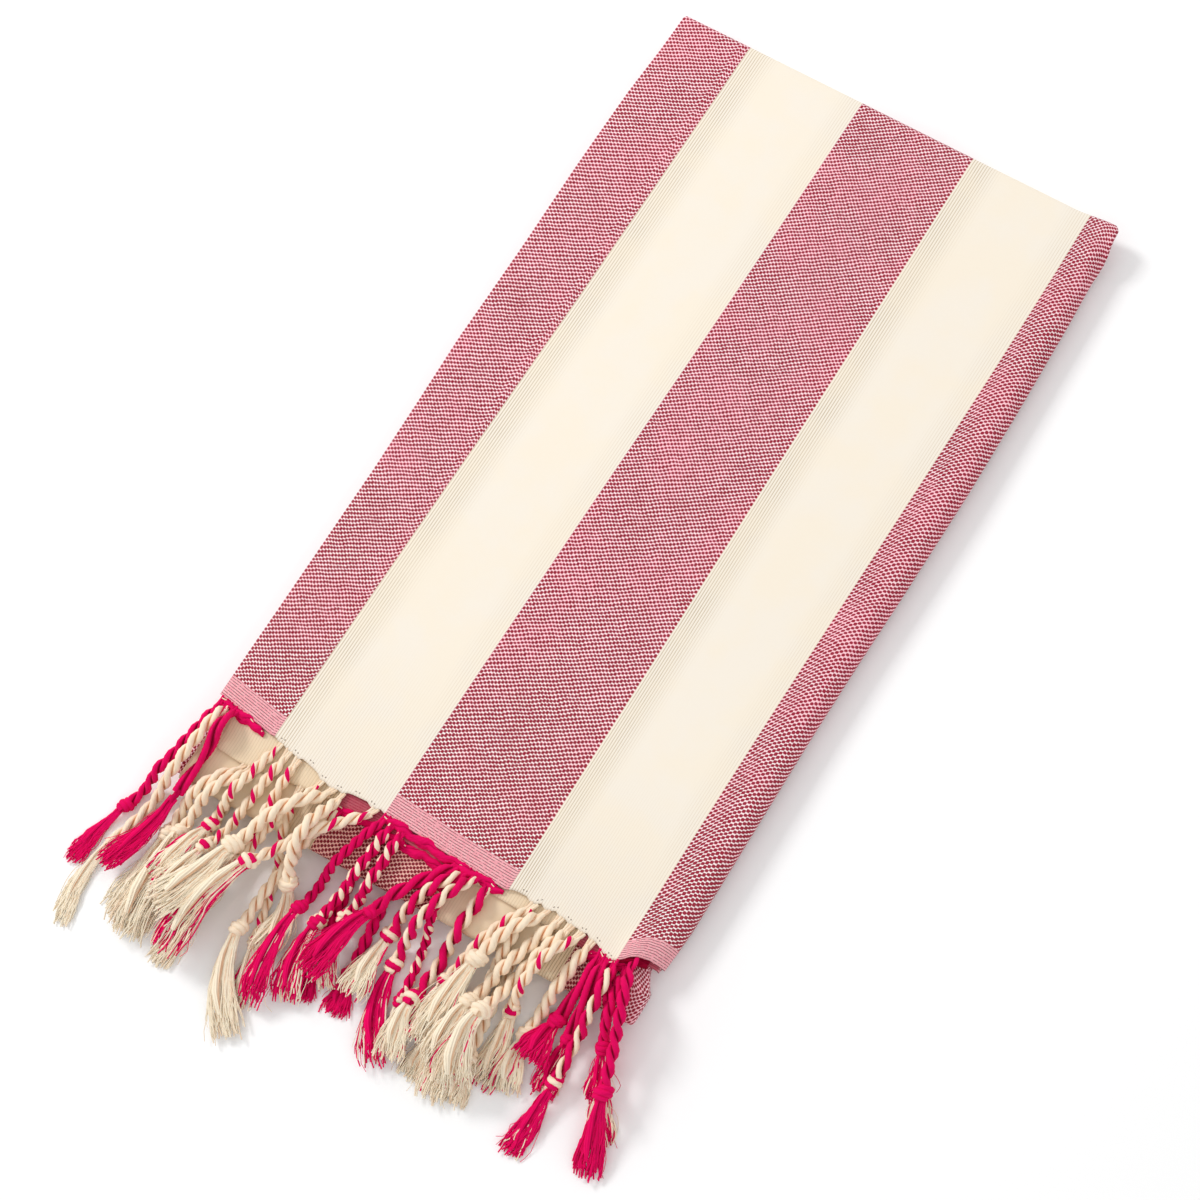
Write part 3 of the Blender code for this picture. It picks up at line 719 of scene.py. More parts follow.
    def flat_map(self, points: np.ndarray, plies: np.ndarray) -> np.ndarray:
        """Flat place of every point: metres across from ply A's selvedge, and along from the hem."""
        flat = np.zeros((*points.shape[:2], 2))
        steps = np.linalg.norm(np.diff(points, axis=0), axis=2)
        flat[1:, :, 1] = np.cumsum(steps, axis=0)
        hem, far = np.array(self.TOP_CHANGES) * MM
        known_flat = FIRST_STRIPE + STRIPE * np.arange(8)
        for i, row in enumerate(points):
            way = lengths(row[:, (0, 2)])
            share = float(smooth(row[:, 1].mean(), -self.half_length, self.half_length))
            share = share if i < len(self.run_shares(0)) else 1.0
            top, under = plies[i] == 1.0, plies[i] == 0.0
            on_top = np.interp(hem + (far - hem) * share, row[top, 0], way[top])
            order = np.argsort(row[under, 0])
            on_under = np.interp(np.array(self.UNDER_CHANGES) * MM, row[under, 0][order], way[under][order])
            known = np.concatenate((on_top, on_under))
            first = FIRST_STRIPE * way / max(on_top[0], MM)
            last = known_flat[-1] + way - known[-1]
            inner = np.interp(way, known, known_flat)
            flat[i, :, 0] = np.where(way < known[0], first, np.where(way > known[-1], last, inner))
        return flat

    def build(self, finish: WovenCotton) -> bpy.types.Object:
        """Makes the sheet: its middle surface with its flat map, thickened both ways."""
        points, plies = self.rows(worn=True)
        flat = self.flat_map(points, plies)
        count, width = points.shape[:2]
        index = np.arange(count * width).reshape(count, width)
        quads = np.stack((index[:-1, :-1], index[:-1, 1:], index[1:, 1:], index[1:, :-1]), axis=-1)
        quads = quads.reshape(-1, 4)[:, ::-1]
        mesh = bpy.data.meshes.new("towel_cloth")
        mesh.from_pydata((points + SHIFT).reshape(-1, 3).tolist(), [], quads.tolist())
        layer = mesh.uv_layers.new(name="flat")
        corners = np.zeros(len(mesh.loops), int)
        mesh.loops.foreach_get("vertex_index", corners)
        layer.data.foreach_set("uv", flat.reshape(-1, 2)[corners].astype(np.float32).ravel())
        mesh.shade_smooth()
        mesh.materials.append(finish.material())
        obj = shown("towel_cloth", mesh)
        thick = obj.modifiers.new("thickness", "SOLIDIFY")
        thick.thickness = self.sheet
        thick.offset = 0
        thick.use_even_offset = True
        bake(obj)
        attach(obj, "root")
        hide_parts("cloth")
        return obj

    def cut_edge(self, hem: str) -> np.ndarray:
        """The sheet's middle along one of its cut edges, as rows of x, y, z in order of x."""
        points, plies = self.rows()
        row, ply = {"top": (0, 1.0), "second": (0, 0.0), "floor": (-1, 1.0)}[hem]
        edge = points[row][plies[row] == ply]
        return edge[np.argsort(edge[:, 0])]


def bake(obj: bpy.types.Object) -> None:
    """Turns an object with live modifiers into a plain mesh."""
    graph = bpy.context.evaluated_depsgraph_get()
    graph.update()
    live = obj.evaluated_get(graph)
    mesh = bpy.data.meshes.new_from_object(live, preserve_all_data_layers=True, depsgraph=graph)
    old = obj.data
    obj.modifiers.clear()
    obj.data = mesh
    mesh.name = obj.name
    bpy.data.meshes.remove(old)


# ---------------------------------------------------------------- fringe


class Yarn(Enum):
    """How a cord is spun: the dye of each of its two plies, its share of fleck, and the size of each ply.

    A dye is 0 for cream and 1 for fuchsia.
    """

    CREAM = (0.0, 0.0, 0.0, 1.0, 1.0)
    CREAM_FLECKED = (0.0, 0.0, 0.26, 1.0, 1.0)
    FUCHSIA = (1.0, 1.0, 0.0, 1.0, 1.0)
    FUCHSIA_FLECKED = (1.0, 1.0, 0.28, 1.0, 1.0)
    PAIRED = (1.0, 0.0, 0.0, 1.1, 0.88)


@dataclass(frozen=True)
class Cord:
    """One cord: where it grows from the hem, which way it runs, and how long its parts are.

    root is millimetres along the hem. lean is degrees from -Y towards +X at the root, swing what it
    turns by its tip and turn what its tassel turns besides. rope and tassel are millimetres. girth
    scales its thickness, spread its tassel's width, and pale is the share of cream in its tassel.
    coils scales its turns and knot its knot: a felted strand has few of one and none of the other.
    """

    root: float
    lean: float
    swing: float
    turn: float
    rope: float
    tassel: float
    yarn: Yarn = Yarn.CREAM
    pale: float = 1.0
    girth: float = 1.0
    spread: float = 1.0
    coils: float = 1.0
    knot: float = 1.0


C, CF, F, FF, P = Yarn.CREAM, Yarn.CREAM_FLECKED, Yarn.FUCHSIA, Yarn.FUCHSIA_FLECKED, Yarn.PAIRED

TOP_CORDS = (
    Cord(-123.3, -6, -22, 22, 68, 37, F, 0.0, 0.95, 0.6, 0.9, 0.8),
    Cord(-119.6, -4, -18, 42, 87, 44, C, 1.0, 1.0, 0.7, 0.8, 0.3),
    Cord(-115.2, 5, -29, 3, 49, 47, F, 0.0, 1.05, 0.75, 0.25, 0.0),
    Cord(-86.6, -11, 2, -8, 48, 36, CF, 0.8, 0.95, 0.9, 1.1, 1.0),
    Cord(-80.6, -4, -13, -1, 55, 34, CF, 0.9, 0.95, 0.9, 1.1, 0.9),
    Cord(-75.0, 4, -14, -8, 40, 50, CF, 0.9, 0.95, 1.0, 1.0, 0.9),
    Cord(-58.9, -24, 40, -43, 48, 50, CF, 0.7, 0.9, 0.9, 1.1, 0.9),
    Cord(-52.2, -42, 51, -39, 52, 46, C, 1.0, 1.15, 1.1, 0.9, 1.2),
    Cord(-29.7, -44, 32, 13, 59, 61, CF, 0.55, 1.0, 1.35, 1.0, 1.1),
    Cord(-46.9, -17, 59, -41, 52, 28, C, 1.0, 1.1, 0.9, 0.95, 1.1),
    Cord(-22.6, -24, 38, 0, 58, 50, F, 0.15, 0.9, 0.95, 1.2, 0.9),
    Cord(-18.6, -4, -8, 40, 54, 43, FF, 0.2, 1.0, 1.0, 1.0, 1.0),
    Cord(-12.5, 1, -13, 52, 46, 36, FF, 0.7, 1.0, 0.8, 1.0, 1.0),
    Cord(19.2, -45, 46, -10, 44, 44, F, 0.0, 1.12, 1.0, 0.6, 0.3),
    Cord(24.7, -43, 67, -15, 49, 32, P, 0.75, 1.0, 1.0, 1.0, 1.2),
    Cord(29.5, -32, 65, 14, 60, 44, P, 0.2, 1.0, 1.2, 1.0, 1.0),
    Cord(36.2, -4, 4, 19, 62, 29, P, 0.9, 1.1, 0.9, 0.85, 1.0),
    Cord(58.8, -36, 54, -8, 49, 34, CF, 0.75, 1.0, 1.1, 1.0, 1.0),
    Cord(65.6, -42, 73, -26, 34, 48, C, 0.95, 1.12, 1.0, 0.9, 1.1),
    Cord(72.7, -22, 17, 18, 53, 34, C, 1.0, 1.1, 1.0, 0.9, 1.1),
    Cord(78.3, -19, 16, 31, 54, 37, C, 0.9, 1.1, 1.2, 0.9, 1.1),
    Cord(84.6, -36, 84, -47, 49, 35, CF, 0.9, 0.95, 1.15, 1.0, 1.0),
    Cord(90.4, -8, 9, 20, 48, 29, C, 0.9, 1.1, 0.95, 0.9, 1.0),
    Cord(97.2, 1, -17, 17, 33, 24, F, 0.05, 1.1, 1.0, 0.25, 0.8),
    Cord(100.4, 5, -1, 3, 39, 27, F, 0.3, 1.05, 1.0, 0.25, 0.4),
    Cord(105.2, 6, -8, -5, 60, 37, P, 0.1, 0.95, 0.8, 0.9, 0.9),
    Cord(112.0, 22, -9, 8, 56, 39, F, 0.0, 1.0, 1.0, 0.9, 1.3),
)
SECOND_CORDS = (
    Cord(-96.6, -46, 100, -60, 48, 48, C, 1.0, 1.05, 1.25, 0.9, 1.0),
    Cord(-92.3, -38, 86, -43, 45, 55, C, 1.0, 1.05, 1.35, 0.9, 1.0),
    Cord(-66.9, 16, 1, -1, 71, 34, CF, 0.9, 0.85, 0.9, 1.0, 0.9),
    Cord(-44.9, -17, 30, 40, 69, 54, C, 1.0, 1.0, 1.1, 1.0, 1.0),
    Cord(16.4, 14, -9, 33, 60, 26, FF, 0.8, 0.85, 0.9, 1.1, 0.9),
    Cord(57.9, 1, -1, 14, 53, 39, C, 0.95, 1.0, 1.0, 1.0, 1.0),
    Cord(104.5, 24, 4, 6, 43, 38, F, 0.5, 0.9, 1.0, 0.8, 0.9),
    Cord(110.8, 4, 34, -14, 36, 23, F, 0.2, 0.9, 0.9, 1.0, 0.9),
)
FLOOR_CORDS = (
    Cord(-95.0, 0, -8, 0, 70, 34),
    Cord(-82.0, 4, -8, 0, 72, 36),
    Cord(-26.0, 6, 4, 0, 60, 24, F, 0.0),
    Cord(-6.0, 4, 6, 0, 56, 24, F, 0.0),
    Cord(44.0, 2, 4, 0, 62, 24),
    Cord(62.0, 4, 6, 0, 60, 26),
)


@dataclass(frozen=True)
class HemStripe:
    """One stripe's part of a hem: its name, whether it is dyed, and its two ends in millimetres."""

    name: str
    dyed: bool
    start: float
    end: float


FLOOR_STRIPES = (
    HemStripe("left", False, -100, -77),
    HemStripe("middle", True, -31, -1),
    HemStripe("right", False, 39, 69),
)
SECOND_STRIPES = (
    HemStripe("cream_left", False, -112.5, -47),
    HemStripe("pink_middle", True, -47, 19),
    HemStripe("cream_right", False, 19, 86),
    HemStripe("pink_right", True, 86, 115),
)
TOP_STRIPES = (
    HemStripe("pink_left", True, -124.8, -95),
    HemStripe("cream_left", False, -95, -24.6),
    HemStripe("pink_middle", True, -24.6, 45),
    HemStripe("cream_right", False, 45, 95.4),
    HemStripe("pink_right", True, 95.4, 118.5),
)
# Each hem's cords and stripes, lowest hem first.
HEMS = (
    ("floor", FLOOR_CORDS, FLOOR_STRIPES),
    ("second", SECOND_CORDS, SECOND_STRIPES),
    ("top", TOP_CORDS, TOP_STRIPES),
)


@dataclass
class CordLaying:
    """Lays every cord on the floor, the cloth and the cords laid before it, as the solids lie."""

    cloth: FoldedCloth
    strip: float = 2.82 * MM  # from the cloth's edge to a cord's root
    root_half: float = 1.3 * MM
    gap: float = 0.57 * MM
    radius: float = 2.8 * MM
    fine_radius: float = 1.6 * MM
    fine_margin: float = 3 * MM
    full_margin: float = 13 * MM
    ring_step: float = 4.4 * MM
    grown: float = 7 * MM
    knot: float = 9 * MM
    lay_step: float = 1.1 * MM
    slope: float = 0.9
    sag: float = 1.0 * MM
    passes: int = 40
    near_root: float = 0.4  # share of a step in which a spot doesn't lift the ring after it
    near_ring: float = 0.02

    # Share of the knot's length, and half width and half height in millimetres.
    KNOT = ((0.28, 4.2, 3.5), (0.72, 4.2, 3.5), (1.0, 2.0, 1.9))
    # Share of the tassel past the knot, and half width and half height in millimetres.
    TASSEL = ((0.35, 4.08, 1.4), (0.7, 4.8, 1.4), (1.0, 4.32, 1.05))

    def rings(self, cord: Cord, hem: str, root_y: float) -> np.ndarray:
        """Rows of distance, half width, half height and squareness down the cord."""
        rope, total = cord.rope * MM, (cord.rope + cord.tassel) * MM
        thin = self.cloth.sheet / 2
        count = 2 * round(rope / self.ring_step / 2)
        rows = [(0.0, self.root_half, thin, 1.0)]
        for i in range(1, count + 1):
            distance = rope * i / count
            full = self.radius
            if hem == "floor":
                past = float(self.cloth.line(self.cloth.NEAR_FOLD, cord.root * MM)) - (root_y - distance)
                grow = float(smooth(past, self.fine_margin, self.full_margin))
                full = self.fine_radius + (self.radius - self.fine_radius) * grow
            radius = thin + (full - thin) * min(1.0, distance / self.grown)
            rows.append((distance, radius, radius, 1.0))
        rows += [(rope + self.knot * share, wide * MM, high * MM, 2.0) for share, wide, high in self.KNOT]
        neck = rope + self.knot
        past = total - neck
        rows += [(neck + past * share, wide * MM, high * MM, 2.0) for share, wide, high in self.TASSEL]
        return np.array(rows)

    def rest_height(self, x: float, y: float, high: float, hem: str) -> float:
        """The height of a cord's middle, where it lies on the cloth or on the floor."""
        cloth = self.cloth
        if hem == "floor" or x > cloth.stack_right + cloth.flare + high:
            return high
        reach = 1.5 * cloth.pitch + cloth.sheet / 2
        clear = high + self.gap
        past = float(cloth.line(cloth.NEAR_FOLD, x)) + reach - y
        if past > reach + clear:
            return high
        low = cloth.RUNS[1][0] * MM - cloth.pitch
        over = math.sqrt(max(0.0, (reach + clear) ** 2 - max(0.0, past) ** 2))
        height = float(cloth.settled(x, y, low + over))
        if hem == "top":
            past = float(cloth.line(cloth.HEM_B, x)) - self.strip - y
            if past < clear:
                second = cloth.RUNS[0][0] * MM - cloth.pitch / 2 + cloth.sheet / 2
                over = math.sqrt(max(0.0, clear**2 - max(0.0, past) ** 2))
                height = max(height, float(cloth.settled(x, y, second)) + over)
        return max(high, height)

    def stacked(self, spots: np.ndarray, laid: np.ndarray) -> np.ndarray:
        """How high each spot has to be to clear the cords that are already laid."""
        apart = np.hypot(spots[:, None, 0] - laid[None, :, 0], spots[:, None, 1] - laid[None, :, 1])
        wide = spots[:, None, 3] + laid[None, :, 3] + self.gap
        high = spots[:, None, 4] + laid[None, :, 4] + self.gap
        power = 2 * spots[:, None, 5] * laid[None, :, 5]
        inside = np.clip(1 - np.minimum(apart / wide, 1) ** power, 0, 1)
        return np.where(apart < wide, laid[None, :, 2] + high * inside ** (1 / power), 0.0).max(axis=1)

    def drawn_down(
        self, distances: np.ndarray, need: np.ndarray, places: np.ndarray, start: float
    ) -> np.ndarray:
        """Heights of a cord's rings: as low as it can lie with no spot below its need.

        Args:
            distances: Where the spots are, along the cord.
            need: The lowest height of each spot.
            places: Where the rings are, along the cord.
            start: The height of the first ring.

        Returns:
            The height of each ring.
        """
        after = np.clip(np.searchsorted(places, distances), 1, len(places) - 1)
        share = (distances - places[after - 1]) / (places[after] - places[after - 1])
        last = len(places) - 1
        heights = np.full(len(places), start)
        for i in range(1, last + 1):
            near = (distances >= places[i - 1]) & (distances <= places[min(i + 1, last)])
            heights[i] = need[near].max()
        for _ in range(self.passes):
            for i in range(1, last + 1):
                lowest = [heights[i - 1] - self.slope * (places[i] - places[i - 1])]
                into = (after == i) & (share > (self.near_root if i == 1 else self.near_ring))
                if into.any():
                    lowest.append(((need[into] - (1 - share[into]) * heights[i - 1]) / share[into]).max())
                if i < last:
                    lowest.append(heights[i + 1] - self.slope * (places[i + 1] - places[i]))
                    lowest.append((heights[i - 1] + heights[i + 1]) / 2 - self.sag)
                    out = (after == i + 1) & (share < 1 - self.near_ring)
                    if out.any():
                        lowest.append(((need[out] - share[out] * heights[i + 1]) / (1 - share[out])).max())
                heights[i] = max(lowest)
        return heights

    def routes(self) -> dict[tuple[str, int], np.ndarray]:
        """Every cord's middle line, by hem and index, as rows of x, y, z a step apart."""
        laid = np.array([[1.0, 0, 0, 0, 0, 1.0]])
        routes = {}
        for hem, cords, _ in HEMS:
            edge = self.cloth.cut_edge(hem)
            for index, cord in enumerate(cords):
                x = cord.root * MM
                y, start = beside(edge, x)
                y = y - self.strip
                rings = self.rings(cord, hem, y)
                places, total = rings[:, 0], rings[-1, 0]
                even = np.linspace(0, total, round(total / self.lay_step) + 1)
                distances = np.union1d(even, places)
                past = np.clip((distances - cord.rope * MM) / (cord.tassel * MM), 0, 1)
                heading = np.radians(cord.lean + cord.swing * distances / total + cord.turn * past)
                steps = np.diff(distances, prepend=0)
                spots = np.zeros((len(distances), 6))
                spots[:, 0] = x + np.cumsum(steps * np.sin(heading))
                spots[:, 1] = y - np.cumsum(steps * np.cos(heading))
                for i in range(3):
                    spots[:, 3 + i] = np.interp(distances, places, rings[:, i + 1])
                need = np.array([self.rest_height(spot[0], spot[1], spot[4], hem) for spot in spots])
                need = np.maximum(need, self.stacked(spots, laid))
                heights = self.drawn_down(distances, need, places, start)
                spots[:, 2] = np.interp(distances, places, heights)
                laid = np.vstack((laid, spots))
                line = [np.interp(even, distances, spots[:, i]) for i in range(3)]
                kernel = np.ones(5) / 5
                padded = np.pad(line[2], 2, mode="edge")
                line[2] = np.convolve(padded, kernel, mode="valid")
                routes[hem, index] = np.column_stack(line)
        return routes


class Guides:
    """Lines that yarn follows, gathered as one mesh of edges with float attributes on its points."""

    FIELDS = ("girth", "second_girth", "dye", "second_dye", "fleck", "phase", "shade", "coils")

    def __init__(self) -> None:
        """Starts with no lines."""
        self.points: list[np.ndarray] = []
        self.edges: list[tuple[int, int]] = []
        self.values: dict[str, list[np.ndarray]] = {name: [] for name in self.FIELDS}
        self.count = 0

    def add(self, line: np.ndarray, **values: np.ndarray | float) -> None:
        """Adds one line.

        Args:
            line: Rows of x, y, z.
            **values: The fields of FIELDS, as one number or one for each point.
        """
        self.points.append(line)
        self.edges += [(self.count + i, self.count + i + 1) for i in range(len(line) - 1)]
        self.count += len(line)
        girth = values.get("girth", 1.0)
        defaults = {"girth": 1.0, "second_girth": girth, "second_dye": values.get("dye", 0.0), "coils": 1.0}
        for name in self.FIELDS:
            value = values.get(name, defaults.get(name, 0.0))
            self.values[name].append(np.broadcast_to(value, len(line)))

    def build(self, name: str) -> bpy.types.Object:
        """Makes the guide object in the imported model's frame."""
        mesh = bpy.data.meshes.new(name)
        mesh.from_pydata((np.vstack(self.points) + SHIFT).tolist(), self.edges, [])
        for field, parts in self.values.items():
            attribute = mesh.attributes.new(field, "FLOAT", "POINT")
            attribute.data.foreach_set("value", np.concatenate(parts).astype(np.float32))
        return shown(name, mesh)


class YarnTree(Nodes):
    """Base of the geometry trees that turn guides into yarn: named inputs, and the steps they share."""

    name = "yarn"
    INPUTS: tuple[tuple[str, str, float], ...] = ()

    def __init__(self) -> None:
        """Makes the tree with its inputs and its body."""
        super().__init__(bpy.data.node_groups.new(self.name, "GeometryNodeTree"))
        self.tree.is_modifier = True
        face = self.tree.interface
        face.new_socket("Geometry", in_out="INPUT", socket_type="NodeSocketGeometry")
        for name, kind, value in self.INPUTS:
            face.new_socket(name, in_out="INPUT", socket_type=f"NodeSocket{kind}").default_value = value
        face.new_socket("Material", in_out="INPUT", socket_type="NodeSocketMaterial")
        face.new_socket("Geometry", in_out="OUTPUT", socket_type="NodeSocketGeometry")
        sockets = self.tree.nodes.new("NodeGroupInput").outputs
        self.given = {socket.name: Field(self, socket) for socket in sockets}
        real = self.node("GeometryNodeRealizeInstances", {"Geometry": self.body()})
        # What lies on the floor is pressed flat against it.
        real = self.moved(real, self.kept_above(self.node("GeometryNodeInputPosition"), 0.0))
        inputs = {"Geometry": real, "Material": self.given["Material"]}
        dressed = self.node("GeometryNodeSetMaterial", inputs)
        self.tree.links.new(dressed.socket, self.tree.nodes.new("NodeGroupOutput").inputs[0])

    def read(self, name: str, data_type: str = "FLOAT") -> Field:
        """The attribute of this name."""
        return self.node("GeometryNodeInputNamedAttribute", {"Name": name}, data_type=data_type)

    def store(self, geometry: Field, name: str, value: object, data_type: str = "FLOAT") -> Field:
        """The geometry with this attribute on its points."""
        inputs = {"Geometry": geometry, "Name": name, "Value": value}
        return self.node("GeometryNodeStoreNamedAttribute", inputs, data_type=data_type, domain="POINT")

    def on_spline(self, measure: str) -> Field:
        """The Factor or the Length at each point of a curve."""
        return self.node("GeometryNodeSplineParameter", output=measure)

    def moved(self, geometry: Field, position: Field) -> Field:
        """The geometry with its points at this position."""
        return self.node("GeometryNodeSetPosition", {"Geometry": geometry, "Position": position})

    def kept_above(self, position: Field, height: object) -> Field:
        """A position that is no lower than this height."""
        far = -9.0  # metres, well past the towel, so that x and y are never changed
        lowest = self.node("ShaderNodeCombineXYZ", {0: far, 1: far, 2: height})
        return self.maths("MAXIMUM", position, lowest)

    def copied(self, count: Field) -> Field:
        """Copies of the guides, as curves."""
        curve = self.node("GeometryNodeMeshToCurve", {"Mesh": self.given["Geometry"]})
        inputs = {"Geometry": curve, "Amount": count}
        return self.node("GeometryNodeDuplicateElements", inputs, domain="SPLINE")

    def frame(self) -> tuple[Field, Field]:
        """The level sideways direction and the upward one at each point of a curve."""
        tangent = self.node("GeometryNodeInputTangent")
        side = self.maths("NORMALIZE", self.maths("CROSS_PRODUCT", tangent, (0.0, 0.0, 1.0)))
        return side, self.maths("CROSS_PRODUCT", side, tangent)

    def circle(self) -> Field:
        """A round profile of radius 1 that knows its way "around"."""
        inputs = {"Resolution": self.given["Sides"], "Radius": 1.0}
        circle = self.node("GeometryNodeCurvePrimitiveCircle", inputs)
        return self.store(circle, "around", self.on_spline("Factor"))

    def swept(self, curve: Field, profile: Field, scale: Field) -> Field:
        """The surface of a profile along a curve."""
        inputs = {"Curve": curve, "Profile Curve": profile, "Scale": scale, "Fill Caps": True}
        return self.node("GeometryNodeCurveToMesh", inputs)

    def body(self) -> Field:
        """The tree's own steps, from the input to the mesh."""
        raise NotImplementedError

    def grow(self, guides: bpy.types.Object, finish: bpy.types.Material, **inputs: float) -> bpy.types.Object:
        """Runs the tree on a guide object, in place, and leaves a plain mesh.

        Args:
            guides: The object whose edges are followed.
            finish: The material.
            **inputs: Values by the input's name, with _ for a space.

        Returns:
            The same object.
        """
        modifier = guides.modifiers.new(self.name, "NODES")
        modifier.node_group = self.tree
        values = {name.replace("_", " "): value for name, value in inputs.items()} | {"Material": finish}
        for item in self.tree.interface.items_tree:
            if item.in_out == "INPUT" and item.name in values:
                modifier[item.identifier] = values[item.name]
        bake(guides)
        return guides


class TwistedCordTree(YarnTree):
    """Winds plies round each guide. Each ply is a lobed round, as its yarns make it."""

    name = "twisted cord"
    INPUTS = (
        ("Plies", "Int", 2),
        ("Coil radius", "Float", 1.45 * MM),
        ("Ply radius", "Float", 1.55 * MM),
        ("Turn length", "Float", 15 * MM),
        ("Ply turn length", "Float", 12 * MM),
        ("Fleck spacing", "Float", 7.5 * MM),
        ("Fleck shift", "Float", 3.7),
        ("Lobes", "Int", 5),
        ("Lobe depth", "Float", 0.07),
        ("Sides", "Int", 15),
    )

    def body(self) -> Field:
        """Guide, copies, coil, profile."""
        given = self.given
        place = self.node("GeometryNodeInputPosition")
        copies = self.copied(given["Plies"])
        placed = self.store(copies, "along", self.on_spline("Length"))
        placed = self.store(placed, "ply", copies.other("Duplicate Index"))
        dye = self.blend(self.read("ply"), self.read("dye"), self.read("second_dye"))
        placed = self.store(placed, "dye", dye)
        size = self.blend(self.read("ply"), self.read("girth"), self.read("second_girth"))
        placed = self.store(placed, "middle", place, "FLOAT_VECTOR")
        share = self.read("ply") / given["Plies"]
        turns = self.read("along") * self.read("coils") / given["Turn length"] + share
        angle = (turns + self.read("phase")) * math.tau
        sine, cosine = self.maths("SINE", angle), self.maths("COSINE", angle)

        # A cream cord's flecks lie on one ply where it is uppermost, a fuchsia cord's on both plies.
        shift = self.read("phase") * given["Fleck shift"]
        spots = self.read("along") / given["Fleck spacing"] + (share + shift)
        spaced = self.ramp(self.maths("COSINE", spots * math.tau), -0.15, 0.8, "LINEAR")
        mark = self.blend(self.read("dye"), self.ramp(sine, 0.3, 1.0, "LINEAR"), spaced)
        placed = self.store(placed, "mark", mark**0.6)
        bare = self.read("ply") * (1.0 - self.read("dye"))
        placed = self.store(placed, "fleck", self.read("fleck") * (1.0 - bare))

        side, up = self.frame()
        coil = given["Coil radius"] * self.read("girth")
        offset = side * (cosine * coil) + up * (sine * coil)
        wound = self.node("GeometryNodeSetPosition", {"Geometry": placed, "Offset": offset})
        wound = self.store(wound, "strand", place, "FLOAT_VECTOR")
        wound = self.node("GeometryNodeSetCurveNormal", {"Curve": wound}, mode="Z_UP")
        spin = self.read("along") / given["Ply turn length"] * -math.tau
        wound = self.node("GeometryNodeSetCurveTilt", {"Curve": wound, "Tilt": spin})
        lobe = self.maths("COSINE", self.on_spline("Factor") * given["Lobes"] * math.tau)
        profile = self.moved(self.circle(), place * (lobe * given["Lobe depth"] + 1.0))
        mesh = self.swept(wound, profile, given["Ply radius"] * size)
        strand, middle = (self.read(name, "FLOAT_VECTOR") for name in ("strand", "middle"))
        away = self.maths("NORMALIZE", place - strand)
        outward = self.maths("NORMALIZE", strand - middle)
        mesh = self.store(mesh, "out", self.maths("DOT_PRODUCT", away, outward))
        for name in ("strand", "middle"):
            mesh = self.node("GeometryNodeRemoveAttribute", {"Geometry": mesh, "Name": name})
        return self.node("GeometryNodeSetShadeSmooth", {"Geometry": mesh})


